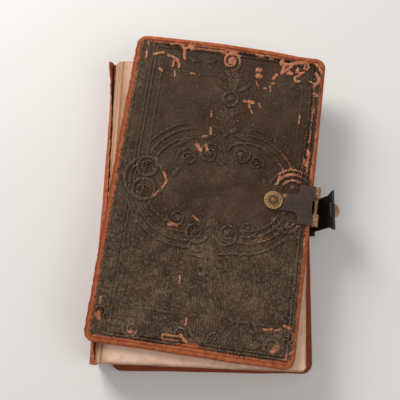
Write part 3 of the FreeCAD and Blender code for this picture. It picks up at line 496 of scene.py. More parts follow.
def old_metal(name, dark, body, bright, metallic, polish, rubbed_beyond=None):
    """Tarnished metal: clouded dark skin, bright where its edges and high spots are rubbed, and
    also beyond a distance in millimetres along the front cover's own X if one is given."""
    make = Finish(name, {"Metallic": metallic})
    place = make.object_place()
    wear = make.field("rubbed_metal")
    if rubbed_beyond is not None:
        turn = math.radians(FRONT_TURN)
        along = make.made("VectorMath", {0: place, 1: (math.cos(turn), math.sin(turn), 0.0)}, "Value",
                          operation="DOT_PRODUCT")
        wear = wear.at_least(along.eased(rubbed_beyond, rubbed_beyond + 1.6, 0.0, 0.55))
    worn = make.effect("Worn through", wear, place, 1.6, 0.9)
    colour = make.mix(worn, make.effect("Mottle", place, 0.55, dark, body), bright)
    colour = make.mix(make.field("grime"), colour, "2f2118")
    scratches = make.noise(make.object_place(3.0, 0.6), 2.0, 7.0, 0.75)
    roughness = (scratches - worn * 0.25).eased(0.15, 0.75, polish, polish + 0.3)
    return make.done(colour, roughness, scratches, 0.03)


# Covers

def rounded(u, v, half_w, half_h, corner):
    """A square of parameters from -1 to 1 laid on a rectangle with round corners: in each corner
    square the distance from its inner corner is kept as the larger of the two offsets."""
    x = u * half_w
    y = v * half_h
    over_x = np.maximum(np.abs(x) - (half_w - corner), 0)
    over_y = np.maximum(np.abs(y) - (half_h - corner), 0)
    reach = np.hypot(over_x, over_y)
    share = np.divide(np.maximum(over_x, over_y), reach, out=np.ones_like(reach), where=reach > 0)
    x = np.sign(x) * (np.abs(x) - over_x * (1 - share))
    y = np.sign(y) * (np.abs(y) - over_y * (1 - share))
    return x, y


def cover_skin(columns, rows, face_height):
    """One closed leather skin in millimetres: the face as a grid, then rings that round the edge,
    run down the side, turn in under the card and come back up inside to its upper face.
    Returns points, quads, the inset from the outline of every point, and the last ring."""
    half_w = COVER_HALF_WIDTH
    half_h = COVER_HALF_HEIGHT
    inner_w = half_w - COVER_SHOULDER
    inner_h = half_h - COVER_SHOULDER
    u, v = np.meshgrid(np.linspace(-1, 1, columns + 1), np.linspace(-1, 1, rows + 1))
    fx, fy = rounded(u, v, inner_w, inner_h, COVER_CORNER - COVER_SHOULDER)
    face = surface(fx, fy, COVER + face_height(fx, fy)).reshape(-1, 3)
    inset = [COVER_SHOULDER + np.minimum(inner_w - np.abs(fx), inner_h - np.abs(fy)).ravel()]
    loop = rim_of(np.arange(u.size).reshape(u.shape))
    rim_height = face[loop, 2] - COVER

    low = 0.5
    angles = np.radians(np.linspace(18, 90, 5))
    profile = [(COVER_SHOULDER * (1 - math.sin(a)), COVER - COVER_SHOULDER * (1 - math.cos(a)))
               for a in angles]
    profile += [(0.0, (COVER - COVER_SHOULDER + low) / 2), (0.0, low), (low * 0.3, low * 0.3), (low, 0.0),
                (TURN_IN, 0.0), (TURN_IN, PASTE), (SKIN, PASTE), (SKIN, PASTE + CARD)]
    rings = []
    for k, (inward, z) in enumerate(profile):
        radius = max(COVER_CORNER - inward, 0.4)
        x, y = rounded(u.ravel()[loop], v.ravel()[loop], half_w - inward, half_h - inward, radius)
        rings.append(surface(x, y, z + rim_height * max(1 - (k + 1) / 4, 0.0)))
        inset.append(np.full(len(loop), inward))
    added = len(face) + np.arange(len(rings) * len(loop)).reshape(-1, len(loop))
    ids = np.concatenate([loop[None, :], added])
    after = np.roll(ids, -1, axis=1)
    sides = np.stack([ids[:-1], ids[1:], after[1:], after[:-1]], axis=-1).reshape(-1, 4)
    quads = np.concatenate([grid_quads(rows + 1, columns + 1), sides])
    return np.concatenate([face] + rings), quads, np.concatenate(inset), ids[-1]


# Stamped ornament. Every function gives a height from 0 to 1 at points in the cover's own
# millimetres, with +X to the fore-edge, +Y to the head and the origin in the cover's middle.

def moulding(distance, width):
    """A rounded bar: one on its line, falling as a parabola to nothing at half its width."""
    return np.clip(1 - (2 * distance / width) ** 2, 0, 1) ** 0.75


def arc(x, y, cx, cy, radius, start, end, width):
    """A moulding along part of a circle, thinned towards both ends."""
    away = (np.degrees(np.arctan2(y - cy, x - cx)) - (start + end) / 2 + 180) % 360 - 180
    left = np.clip(((end - start) / 2 - np.abs(away)) / 9.0, 0, 1)
    return moulding(np.abs(np.hypot(x - cx, y - cy) - radius), width) * left


def ring(x, y, cx, cy, radius, width):
    """A moulding along a whole circle."""
    return moulding(np.abs(np.hypot(x - cx, y - cy) - radius), width)


def boss(x, y, cx, cy, radius):
    """A round bead."""
    return moulding(np.hypot(x - cx, y - cy), 2 * radius)


def scroll(x, y, cx, cy, radius, start, hand, width):
    """A volute: the radius shrinks by a constant share each turn, the bar thins, and a bead ends it."""
    tightness = 0.78
    turns = 1.55
    rho = np.hypot(x - cx, y - cy)
    turn = (hand * (np.degrees(np.arctan2(y - cy, x - cx)) - start) % 360) / 360
    height = boss(x, y, cx, cy, radius * 0.24)
    for lap in range(math.ceil(turns)):
        wound = turn + lap
        track = radius * np.exp(-tightness * wound)
        bar = moulding(np.abs(rho - track), width * (1 - 0.4 * wound / turns))
        height = np.maximum(height, np.where(wound < turns, bar, 0))
    return height


def leaf(x, y, x1, y1, x2, y2, width, bend=0.0):
    """A pointed leaf from root to tip on a bent midrib, fullest near its root, with a sunk rib."""
    length = math.hypot(x2 - x1, y2 - y1)
    ax = (x2 - x1) / length
    ay = (y2 - y1) / length
    along = ((x - x1) * ax + (y - y1) * ay) / length
    inside = np.clip(along, 0, 1)
    across = (y - y1) * ax - (x - x1) * ay - 4 * bend * inside * (1 - inside)
    half = np.maximum(width / 2 * np.sin(math.pi * inside ** 0.75), 1e-6)
    body = np.clip(1 - (across / half) ** 2, 0, 1) ** 0.6
    rib = 1 - 0.5 * np.exp(-(across / (0.12 * width)) ** 2)
    return np.where((along > 0) & (along < 1), body * rib, 0)


def spray(x, y, cx, cy, length, width, angles, bend=0.0):
    """Leaves that spring from one point."""
    height = np.zeros_like(x)
    for angle in angles:
        a = math.radians(angle)
        side = bend if math.cos(a) >= 0 else -bend
        tip = (cx + length * math.cos(a), cy + length * math.sin(a))
        height = np.maximum(height, leaf(x, y, cx, cy, *tip, width, side))
    return height


def frame_bar(x, y, left, right, low, high, width):
    """A moulding along a rectangle."""
    over = np.maximum(np.abs(x - (left + right) / 2) - (right - left) / 2,
                      np.abs(y - (low + high) / 2) - (high - low) / 2)
    return moulding(np.abs(over), width)


def marks(x, y, places):
    """Short strokes with soft edges, the strongest one at each point."""
    total = np.zeros_like(x)
    for x1, y1, x2, y2, width in places:
        dx = x2 - x1
        dy = y2 - y1
        along = np.clip(((x - x1) * dx + (y - y1) * dy) / (dx * dx + dy * dy), 0, 1)
        away = np.hypot(x - x1 - along * dx, y - y1 - along * dy)
        total = np.maximum(total, np.clip(1.1 - (away / (0.58 * width)) ** 2, 0, 1))
    return total


def spots(x, y, places):
    """Soft round patches, the strongest one at each point."""
    return np.maximum.reduce([strength * np.exp(-((x - cx) ** 2 + (y - cy) ** 2) / radius ** 2)
                              for cx, cy, radius, strength in places])


def furrows(relief):
    """Where the ground is pressed down beside a bar: what a blur of three short means adds to a
    grid of heights."""
    soft = relief
    for _ in range(3):
        for axis in (0, 1):
            soft = (np.roll(soft, 1, axis) + 2 * soft + np.roll(soft, -1, axis)) / 4
    return np.clip(soft - relief, 0, 1)


# Acanthus strokes in the head corners, rubbed bare: from a place to a place, and the width
HEAD_FOLIAGE = [
    (-29.5, 71.2, -27, 72, 1.3), (-27, 72, -24, 71.3, 1.3), (-24, 71.3, -22.6, 69.5, 1.7),
    (-22.6, 69.5, -22.3, 67, 1.6), (-22.3, 67, -21.8, 65.2, 1.6), (-19.8, 71.4, -18.6, 70.2, 2.4),
    (-22.6, 69.5, -19.8, 71.4, 1.5), (-30, 65.8, -27.5, 65.2, 1.3), (-27.5, 65.2, -24.8, 64, 1.4),
    (-26.8, 63.6, -27, 60.6, 1.3), (-25.4, 63.8, -24.1, 62.2, 1.4), (-24.1, 62.2, -24, 60.2, 1.2),
    (-37, 65.6, -32.8, 66.8, 1.5), (-41, 66.5, -40.6, 63.6, 1.3), (26.3, 71.2, 25.3, 69.7, 1.5),
    (25.8, 68.9, 30, 69.3, 1.9), (30, 69.3, 34, 71.1, 2.1), (34, 71.1, 38, 71.8, 2),
    (26.5, 64.5, 27, 67.3, 1.8), (26.8, 64.6, 28.6, 66.2, 1.3), (28.6, 66.2, 31.2, 68.8, 1.3),
    (29.6, 64.6, 31.3, 64.7, 2), (28.6, 67, 31.4, 65.1, 1.2), (38.6, 71.4, 39.1, 69.2, 1.2),
    (39.1, 69.2, 38.3, 67.7, 1.2), (38.3, 67.7, 37, 68.6, 1.1), (37, 68.6, 37.2, 70.4, 1),
    (34, 67.8, 33.6, 66, 1.6), (33.6, 66, 35.5, 65.6, 1.5), (35.5, 65.6, 37.2, 66.4, 1.2),
    (35.8, 65, 32.8, 62.9, 1.2), (32.8, 62.9, 33.5, 61, 1.4), (33.5, 61, 35.4, 61.2, 1.4),
    (42.8, 66.5, 44.2, 64.5, 1.5), (44.2, 64.5, 44.2, 62.2, 1.7), (44.2, 62.2, 42.4, 59.6, 1.6),
    (40.2, 62, 42.6, 60.8, 0.9), (24, 63, 22.6, 60.8, 1.7),
]

# The stamped figures, as rows of arguments under the function that draws them
FIGURES = {
    # The cartouche's bands, the looped ends at its sides, and the hook in the tail corner
    arc: [
        (-8, 6, 24.3, 93, 160, 1.4), (-9, 5, 20.4, 86, 160, 1.1), (-8.5, 5.5, 27.4, 100, 150, 1.1),
        (14, 5, 25, 22, 106, 1.35), (14, 5, 21, 20, 108, 1.4), (14, 5, 28.2, 34, 92, 1.1),
        (-10, 2, 29.5, 197, 291, 1.35), (-10, 1.2, 25.6, 202, 285, 1.15), (-11, 1, 21.6, 204, 280, 1.1),
        (-12, 0, 17.6, 204, 280, 1.15), (17, 1, 17.5, -98, -20, 1.15), (17, 1, 20.2, -96, -24, 1.1),
        (17, 1, 23, -100, -22, 1.35), (15, 1, 28.4, -106, -34, 1.35), (-30.5, 2.5, 10.2, 58, 302, 1.7),
        (-30.5, 2.5, 7.9, 70, 290, 1), (38, 5.5, 10.6, 20, 170, 1.2), (36.5, -8, 6.2, 175, 350, 1.6),
        (36.5, -8, 3.8, 185, 345, 1.1), (38, 5.5, 10.8, 200, 340, 1.1), (38, -59, 7.4, 200, 262, 1.2),
    ],
    # At the cartouche's sides, and in the stem
    ring: [
        (-31, 8, 4.6, 1.5), (-31, -3.2, 5.2, 1.5), (38, 5.5, 8.2, 1.6), (38, 5.5, 5.4, 1.4),
        (3.4, 47.4, 3.6, 1.4),
    ],
    boss: [
        (38, 7.5, 1.6), (1, 66.8, 1.9), (3.4, 47.4, 1.5), (PANEL_X, 38, 1.3), (PANEL_X, 33.4, 1.3),
        (PANEL_X, 28.8, 1.3), (PANEL_X, -43.6, 1.2),
    ],
    # Round the cartouche, at the head and along the tail
    scroll: [
        (-12.7, 15.4, 5.4, 200, -1, 1.35), (-2.8, 18.4, 5.9, 20, 1, 1.35),
        (11.9, 20, 6.4, 170, -1, 1.1), (19.5, 16.6, 3.8, -20, 1, 1.4),
        (-4.2, -19.7, 5.9, -10, -1, 1.35), (10.5, -18.6, 6.4, 190, 1, 1.4),
        (19.8, -14.8, 4.4, 10, -1, 1.15), (-13.6, -14, 4.6, 170, 1, 1.15), (-31, 8, 2.8, 90, 1, 1.1),
        (-31, -3.2, 3.2, 270, -1, 1.1), (1, 66.8, 5.7, 250, 1, 1.9), (-26, -67.2, 4, 150, 1, 1.6),
        (37, -66.2, 4.2, 210, -1, 1.7), (-40.5, -61.5, 3.2, 250, -1, 1.3),
        (42, -60.4, 3.2, 290, 1, 1.3), (PANEL_X - 7.8, -66, 3, 340, 1, 1.3),
        (PANEL_X + 7.8, -66, 3, 200, -1, 1.3),
    ],
    leaf: [
        (-19, 20, -10, 25.5, 2.6, 0.8), (26, 21, 18, 26.5, 2.6, -0.8), (-20, -18, -11, -24, 2.6, -0.8),
        (27, -17, 19, -23.5, 2.6, 0.8), (-8, 24.5, 0, 28.5, 2.4, 0.7), (15, 27, 6.5, 29, 2.4, -0.7),
        (-8, -26, 0, -28.5, 2.4, -0.7), (15, -25.5, 6.5, -28.5, 2.4, 0.7), (-16, 10, -20, 4, 2, 0.6),
        (24, 10, 27, 5, 2, -0.6), (-27.5, 11.5, -20.6, 1.6, 2.2, 1), (-27.5, -7.5, -20.6, 2.4, 2.2, -1),
        (4.2, 62, 4.2, 50.6, 7), (-4.4, 57, 2.6, 51.4, 2.4, -0.6), (12.4, 57, 5.6, 51.4, 2.4, 0.6),
        (33.2, 60.6, 30.8, 56.6, 2.2, 0.5), (36.2, 60.4, 38.4, 56, 2, -0.5), (14.8, 66, 15.6, 59, 3),
        (-29.5, 69.4, -36, 70.2, 1.6), (-20.5, 66.5, -13, 64.4, 2, -0.5),
        (-6, 66.5, -12.5, 64.4, 2, 0.5), (-31, -66.5, -39, -65.5, 2.4, -0.6),
        (31.4, -66.4, 24, -67.4, 2.2, 0.5),
    ],
    # In the cartouche, up the stem, down the drop, and at the middle of the tail
    spray: [
        (PANEL_X, 13.5, 6, 2.6, (60, 90, 120)), (PANEL_X, -12.5, 6, 2.6, (-60, -90, -120)),
        (PANEL_X, 58.6, 5, 2, (20, 160), 0.5), (PANEL_X, 38.1, 6.4, 2.5, (28, 60, 120, 152), 0.6),
        (PANEL_X, 33.5, 7.2, 2.5, (28, 60, 120, 152), 0.6),
        (PANEL_X, 28.9, 8.4, 2.5, (28, 60, 120, 152), 0.6),
        (PANEL_X, -28, 8, 2.5, (-24, -55, -125, -156), -0.6),
        (PANEL_X, -32, 6.8, 2.2, (-40, -90, -140), -0.5),
        (PANEL_X, -36.4, 5.6, 2.2, (-40, -90, -140), -0.5),
        (PANEL_X, -70, 7, 2.2, (22, 55, 90, 125, 158), 0.4),
    ],
    marks: [(HEAD_FOLIAGE,)],
}

# Wear of the front cover: places in its own millimetres, each with a radius and a strength
RUBBED_SPOTS = [
    (0.8, 68.4, 5.6, 1), (44, 55, 4, 0.6), (-4.5, 34, 4, 0.5), (36, 13, 6.5, 0.85), (44, 20, 6, 0.8),
    (45, 34, 6, 0.75), (46, 46, 7, 0.7), (33, 22, 3, 0.5), (-21.5, 2.5, 4.5, 0.8), (-15, -18, 3, 0.6),
    (-26, -68, 3, 0.4), (-42, -63, 3.5, 0.45), (44, -70, 5, 0.7), (40, -8, 5, 0.6), (27, -19, 5, 0.45),
]

# Single rubbed marks: from a place to a place, and the mark's width
RUBBED_MARKS = [
    (-20, 72.2, -1, 72, 0.9), (-19, 70.8, -2, 70.6, 0.8), (-28, 72.3, -22, 72.4, 0.9),
    (-41, 72, -40.7, 69.4, 0.7), (-25.8, 58.3, -25.2, 55.4, 0.9), (-33.3, 58.6, -32.1, 57.4, 1.3),
    (-18, 58.2, -15.4, 57.9, 0.9), (-13.6, 58, -13.3, 57.9, 0.7), (13, 71.6, 16.2, 71.2, 1.5),
    (17.8, 71.9, 24.2, 71.8, 0.7), (19.4, 70.7, 21.6, 70.7, 0.7), (14.4, 64.6, 15.6, 64.5, 2.5),
    (14.9, 61.3, 16, 61.2, 2.8), (14.4, 58.4, 16.2, 55.4, 0.6), (22.2, 58.4, 23.2, 58.3, 1.1),
    (21.6, 56.9, 22, 54.4, 0.7), (18.9, 55.5, 19.7, 55.4, 1.1), (40.4, 72.9, 43.4, 70.6, 1.5),
    (43.4, 70.6, 45.2, 67.4, 1.4), (42.9, 55.9, 44.2, 54.9, 1.5), (9.8, 47.4, 10.8, 47.3, 1.4),
    (12.6, 47.4, 13.9, 47.2, 2.2), (12.6, 45.6, 13, 44.2, 1.2), (13.6, 43.4, 14.8, 41.4, 0.7),
    (17.2, 47, 18.2, 45.2, 0.8), (-5, 40, -4.7, 37, 0.8), (-4, 31.2, -3.8, 28.6, 1.1),
    (-7.6, 26.5, -5.6, 27, 0.9), (-9.5, 22, -7.4, 19.7, 1.8), (-5.2, 22.3, -4.1, 19.6, 1.4),
    (37.3, 44, 37.3, 39.6, 0.8), (43.5, 48.5, 43.2, 46, 1), (42.5, 27, 42.5, 24.4, 0.9),
    (41.8, 22, 42.2, 19, 1), (45.7, 54, 45.8, 30, 0.8), (45.6, 30, 45.2, 13, 1.1),
    (43.4, 26, 43.2, 16, 0.8), (-23, 6, -20.8, 2.5, 1.2), (-20.8, 2.5, -22.6, -1, 0.9),
    (-24, -3, -26, -6, 0.8), (-17, -18, -13, -18, 1.2), (-6.5, -12.4, -3, -14.6, 0.8),
    (-8.2, -41, -7.9, -44, 1.1), (-2.5, -59, -2.3, -62, 1), (-12, -67.3, -5, -67.3, 0.8),
    (-12, -69.3, -5, -69.3, 0.8), (-12, -67.3, -12, -69.3, 0.8), (-4, -66.4, -1, -69.4, 1.7),
    (-27.6, -68, -24, -68.4, 1.1), (32, -59, 35.6, -58.4, 1.1), (37, -58.6, 39.6, -57.8, 0.9),
    (41, -56, 43.6, -57, 1.3), (36.4, -67.8, 37.4, -67.6, 1.6), (37.4, -67.4, 38.6, -65.2, 1.9),
    (-41.8, -55, -41.6, -58, 1), (-41.8, -62, -41.2, -64.2, 2.2), (45.2, -16, 45.4, -20, 1),
    (44.4, -67.6, 46, -66, 1), (31.4, 13.6, 30.4, 8, 1.2),
]

# Where the ribs are scuffed pale, each place with a radius and a strength
SCUFFED_SPOTS = [
    (0, -50, 30, 1), (26, -44, 26, 0.9), (-24, -60, 20, 0.7), (30, -66, 20, 0.8), (-30, -28, 18, 0.5),
    (-6, 20, 14, 0.3), (-26, 3, 12, 0.35), (32, 60, 14, 0.3), (2, 56, 14, 0.3), (-34, 62, 14, 0.3),
    (-46, -30, 10, 0.9), (-46, 10, 7, 0.6), (6, 14, 9, 0.4),
]


def catch_seat(x, y):
    """One on open leather, zero on the flat ground under the catch and its rosette."""
    disc = smooth_step(ROSETTE_RADIUS + 0.1, ROSETTE_RADIUS + 0.7, np.hypot(x - ROSETTE_X, y))
    clear = np.minimum.reduce([np.maximum(np.abs(y) - half, start - x) for half, start in CATCH_STEPS])
    return disc * smooth_step(0.15, 0.7, clear)


def ornament(x, y):
    """The whole stamped relief, with the straight fillets broken where figures cross them."""
    figures = np.maximum.reduce([draw(x, y, *row) for draw, rows in FIGURES.items() for row in rows])
    fillets = np.maximum.reduce([
        frame_bar(x, y, -37.6, 43.0, -70.6, 71.4, 1.1) * (1 - 0.45 * smooth_step(-30, -36, x)),
        frame_bar(x, y, -35.9, 41.2, -69.2, 69.8, 0.8) * (1 - 0.45 * smooth_step(-30, -35, x)),
        frame_bar(x, y, -43.2, 45.4, -72.4, 72.9, 0.9) * 0.6,
        frame_bar(x, y, -31.8, 37.2, -57.4, 58.6, 0.9) * 0.45,
    ])
    broken = fillets * (1 - 0.5 * smooth_step(0.1, 0.6, figures))
    return np.maximum(figures, broken) * catch_seat(x, y)


def inside_cartouche(x, y):
    """One on the cartouche's open ground, a rounded box, falling to zero over a soft border."""
    away = (np.abs((x - 4) / 26) ** 4 + np.abs((y - 3) / 17) ** 4) ** 0.25
    return 1 - smooth_step(0.88, 1.12, away)


def edge_band(x, y, width):
    """How bare the leather is: one half at the band's inner border, more towards the edge. The
    band is as wide at the spine, head and tail, and narrower at the fore-edge."""
    from_spine = COVER_HALF_WIDTH + x
    from_fore = COVER_HALF_WIDTH - x
    from_head = COVER_HALF_HEIGHT - y
    from_tail = COVER_HALF_HEIGHT + y
    from_corner = np.hypot(np.minimum(from_spine, from_fore) + 1.5,
                           np.minimum(from_head, from_tail) + 1.5) - 1.5
    bare_patch = 2.6 - (from_tail - width) - 0.28 * np.abs(x - 1.0)
    depth = np.maximum.reduce([
        width * 0.84 - from_spine + 0.35 * ripple(y, x, 2.6, 6), width * 0.52 - from_fore,
        width * 0.93 - from_head, width - from_tail, width * 1.75 - from_corner, bare_patch,
    ])
    return np.clip(0.5 + depth / 2.4 + 0.1 * ripple(x, y, 8.0, 5), 0, 1)


def place_of(node):
    """The middle of a CAD node's box in plan and the lowest height it reaches, in metres."""
    low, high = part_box(node)
    return np.array([(low.x + high.x) / 2, (low.y + high.y) / 2, low.z])


def make_cover_piece(name, side, face_height, columns, rows, settings):
    """Builds a cover's leather in its own frame and puts it where its board is. The back cover
    lies face down, so its points are turned over in height."""
    front = side == "front"
    half_w = COVER_HALF_WIDTH
    half_h = COVER_HALF_HEIGHT
    points, quads, inset, last = cover_skin(columns, rows, face_height)
    own = points.copy()
    x, y, z = own.T
    points[:, 0] += 0.35 * np.cos(np.clip(y / half_h, -1, 1) * math.pi / 2) * (x / half_w) ** 3
    points[:, 1] += (0.25 * np.sign(y) * smooth_step(half_h - 3, half_h, np.abs(y))
                     * ripple(x, y * 0, 26, 9))
    if front:
        torn = smooth_step(-half_w + 4.0, -half_w + 0.5, x) * ragged(y, (7.0, 21, 1), (2.3, 22, 0.6))
        points[:, 0] += 0.45 * smooth_step(half_w - 8, half_w, x) + 0.32 * torn
        arched = np.cos(np.clip((x + 8) / 42, -1, 1) * math.pi / 2)
        points[:, 1] += 1.4 * arched * smooth_step(half_h - 13, half_h - 1, y)
    else:
        points[:, 2] = COVER - points[:, 2]
        quads = quads[:, ::-1]
    shift = place_of(side + "_board")
    shift[2] -= (PASTE if front else SKIN) * MM
    mesh = new_mesh(name, placed(points, shift, FRONT_TURN if front else 0.0), quads)
    loss = edge_band(x, y, settings.worn_band / MM)
    loss = np.where(inset < 1.2, np.maximum(loss, 0.8), loss)
    # The rim field is painted shade: a dark line along the front cover's spine-side edge, and 0.6 over
    # the whole back cover, which lies in shade.
    rim = 1 - smooth_step(0.4, 1.9, half_w + x) if front else np.full(len(x), 0.6)
    set_fields(mesh, board_place=own, film_loss=np.where(z < COVER - 0.9, 0.92, loss), rim=rim)
    if front:
        relief = ornament(x, y)
        high_spots = spots(x, y, RUBBED_SPOTS) * (0.12 + 0.88 * smooth_step(0.2, 0.7, relief))
        scuff = (0.15 + 0.35 * smooth_step(-5, -40, y) + 0.6 * smooth_step(-38, -42, x)
                 + spots(x, y, SCUFFED_SPOTS))
        plain = inside_cartouche(x, y)
        ground = 1 - smooth_step(0.05, 0.4, relief)
        face = (rows + 1) * (columns + 1)
        furrow = np.zeros_like(relief)
        furrow[:face] = furrows(relief[:face].reshape(rows + 1, columns + 1)).ravel()
        set_fields(mesh, relief=relief, furrow=furrow, scuff=np.clip(scuff, 0, 1),
                   rubbed=np.maximum(high_spots, 0.9 * marks(x, y, RUBBED_MARKS + HEAD_FOLIAGE)),
                   ribs_up=(1 - plain) * ground, ribs_across=plain * 0.6 * ground)
    with edited(mesh) as work:
        work.verts.ensure_lookup_table()
        work.faces.new([work.verts[int(k)] for k in (last[::-1] if front else last)])
    material = stamped_leather(name + "_finish", settings, front)
    return finish_piece(name, mesh, material, [side + "_cover_leather"])


def front_face_height(x, y):
    """Height of the stamped face over the plain leather: relief, a slow warp and a swell along the
    edge, all of them sunk where the catch lies."""
    relief = ornament(x, y)
    seat = catch_seat(x, y)
    warp = 0.16 * ripple(x, y, 48.0, 3) + 0.05 * ripple(x, y, 11.0, 4)
    height = bpy.context.scene.book_cover.relief_height / MM
    edge = np.minimum(COVER_HALF_WIDTH - np.abs(x), COVER_HALF_HEIGHT - np.abs(y))
    swell = 0.12 * np.exp(-((edge - 1.9) / 1.2) ** 2)
    raised = np.maximum(relief * height, 0.16 * marks(x, y, RUBBED_MARKS) * seat)
    return raised - 1.1 * height * furrows(relief) + (warp - 0.12 + swell) * seat - 0.04


def plain_face_height(x, y):
    """The back cover's outer face lies on the table, so its warp only sinks it."""
    return 0.05 * ripple(x, y, 40.0, 13) - 0.07


class BOOK_OT_front_cover(bpy.types.Operator):
    """Stamped, worn leather of the loose front cover"""
    bl_idname = "book.front_cover"
    bl_label = "Front cover leather"

    def execute(self, context):
        piece = make_cover_piece("stamped_front_cover", "front", front_face_height, 222, 356,
                                 context.scene.book_cover)
        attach(piece, "text_block")
        return {"FINISHED"}


class BOOK_OT_back_cover(bpy.types.Operator):
    """Plain worn leather of the back cover"""
    bl_idname = "book.back_cover"
    bl_label = "Back cover leather"

    def execute(self, context):
        piece = make_cover_piece("worn_back_cover", "back", plain_face_height, 94, 150,
                                 context.scene.book_cover)
        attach(piece, "back_cover")
        return {"FINISHED"}


class BOOK_OT_boards(bpy.types.Operator):
    """Card boards and the plain papers pasted inside the covers"""
    bl_idname = "book.boards"
    bl_label = "Boards and pastedowns"

    def execute(self, context):
        card = plain_paper("grey_card", "6d5c49", "85715a")
        paper = plain_paper("endpaper", "cbae90", "b99a7a")
        for node in ("front_board", "back_board"):
            finish_node(node, card)
        for node in ("front_pastedown", "back_pastedown"):
            finish_node(node, paper)
        return {"FINISHED"}


# Page block

# Points of the block's grids across, along and up
PAGE_POINTS = (91, 147, 81)


def block_shift():
    """Where the block's own origin lies: the middle of its box, less half of the rounded spine."""
    middle = place_of("page_block")
    x, y = turned(-BLOCK_ROUND / 2 * MM, 0.0, BLOCK_TURN)
    return middle - np.array([x, y, 0.0])


def spine_reach(z, swell, sections):
    """How far the folds stand out at a height: a circle through the block's upper and lower spine
    edges, plus a small arch on each section."""
    half = BLOCK_THICKNESS / 2
    radius = (half ** 2 + BLOCK_ROUND ** 2) / (2 * BLOCK_ROUND)
    bulge = np.sqrt(radius ** 2 - (z - half) ** 2) - (radius - BLOCK_ROUND)
    phase = z / BLOCK_THICKNESS * sections
    arch = 1 - np.abs(2 * (phase - np.floor(phase)) - 1) ** 2
    return bulge + swell * arch


def make_page_surfaces(settings):
    """The block as six grids that share their borders. A point is given by shares across, along
    and up; leaf edges stand out by amounts that change with height and slowly along the edge."""
    uneven = settings.unevenness / MM

    def shape(a, b, c):
        """Millimetres for shares across, along and up."""
        z = c * BLOCK_THICKNESS
        fold = spine_reach(z, 0.3, settings.sections)
        hollow = BLOCK_HOLLOW * (1 - (2 * c - 1) ** 2)
        wobble = uneven * (ripple(z, b * 3.0, 0.9, 31) + 0.8 * ripple(z, b * 2.0, 2.6, 32))
        right = BLOCK_HALF_WIDTH - hollow - 0.25 - wobble
        left = -BLOCK_HALF_WIDTH - fold * (0.97 + 0.02 * ripple(b * 146, z, 30.0, 33))
        end = uneven * (ripple(z, a * 3.0, 0.9, 34) + 0.9 * ripple(z, a * 2.0, 3.2, 35))
        sag = 0.2 * (1 - a) * smooth_step(0.0, 1.0, np.abs(2 * c - 1))
        out = 2 * b - 1
        worn = 0.9 * smooth_step(0.985, 1.0, a) * smooth_step(0.98, 1.0, np.abs(out))
        x = left + (right - left) * a - worn
        y = (BLOCK_HALF_HEIGHT - 0.25 - end - sag) * out - worn * np.sign(out)
        cockle = 0.16 * (ripple(x, y, 34.0, 36) - 1) * smooth_step(0.93, 1.0, c)
        return surface(x, y, z + cockle)

    points, shares, quads = [], [], []
    for fixed, value in ((2, 1), (2, 0), (1, 0), (1, 1), (0, 0), (0, 1)):
        steps = [np.linspace(0, 1, count) for count in PAGE_POINTS]
        steps[fixed] = [float(value)]
        share = np.stack(np.meshgrid(*steps, indexing="ij"), axis=-1).squeeze(fixed)
        quads.append(grid_quads(*share.shape[:2], sum(map(len, points)), flip=(fixed + value) % 2 == 0))
        points.append(shape(*np.moveaxis(share, -1, 0)).reshape(-1, 3))
        shares.append(share.reshape(-1, 3))
    return np.concatenate(points), np.concatenate(shares), np.concatenate(quads)


class BOOK_OT_pages(bpy.types.Operator):
    """Sewn leaves with uneven edges and folded sections at the spine"""
    bl_idname = "book.pages"
    bl_label = "Page block"

    def execute(self, context):
        settings = context.scene.book_pages
        points, shares, quads = make_page_surfaces(settings)
        mesh = new_mesh("page_leaves", placed(points, block_shift(), BLOCK_TURN), quads)
        a, b, c = shares.T
        flat = np.minimum.reduce([a * 96, (1 - a) * 91, b * 146, (1 - b) * 146])
        seam = (c * settings.sections + 0.5) % 1 - 0.5
        upright = (c > 0.001) & (c < 0.999)
        # The dark line at the section boundaries on the spine side is painted shade in the creases
        # between sections.
        set_fields(mesh, leaf_edge=np.where(upright, 1.0, 1 - smooth_step(0.0, 0.9, flat)),
                   fold=1 - smooth_step(0.002, 0.052, a), stain=0.62 - flat / 14,
                   crease=np.where(a < 0.001, 0.9 * np.exp(-(seam / 0.11) ** 2), 0.0))
        close_seams(mesh)
        paper = page_paper("aged_leaves", settings)
        piece = finish_piece("page_leaves", mesh, paper, ["page_block"])
        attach(piece, "text_block")
        return {"FINISHED"}


# Spine

def strip_shell(centre, thickness):
    """A sheet of some thickness around a middle surface: the surface is pushed both ways along its
    normals, which are cross products of its own steps, and the two skins are joined round the rim.
    The centre is an array of rows along the strip and columns across it, in millimetres."""
    normal = np.cross(np.gradient(centre, axis=0), np.gradient(centre, axis=1))
    normal /= np.linalg.norm(normal, axis=-1, keepdims=True)
    half = np.broadcast_to(thickness, centre.shape[:2])[..., None] / 2
    rows, columns = centre.shape[:2]
    count = rows * columns
    rim = rim_of(np.arange(count).reshape(rows, columns))
    after = np.roll(rim, -1)
    sides = np.stack([rim, rim + count, after + count, after], axis=-1)
    faces = [grid_quads(rows, columns, flip=True), grid_quads(rows, columns, count)]
    quads = np.concatenate([*faces, sides])
    skins = [(centre + normal * half).reshape(-1, 3), (centre - normal * half).reshape(-1, 3)]
    return np.concatenate(skins), quads[:, ::-1]


# The torn edge's place across the block at places along it, in the block's millimetres
TORN_EDGE_Y = (-73.7, -71.1, -63.9, -30.0, 3.1, 8.5, 21.4, 36.7, 49.7, 62.9, 72.1, 73.7)
TORN_EDGE_X = (-47.4, -48.4, -49.8, -48.9, -48.5, -48.5, -49.0, -49.6, -50.3, -51.8, -53.2, -53.1)


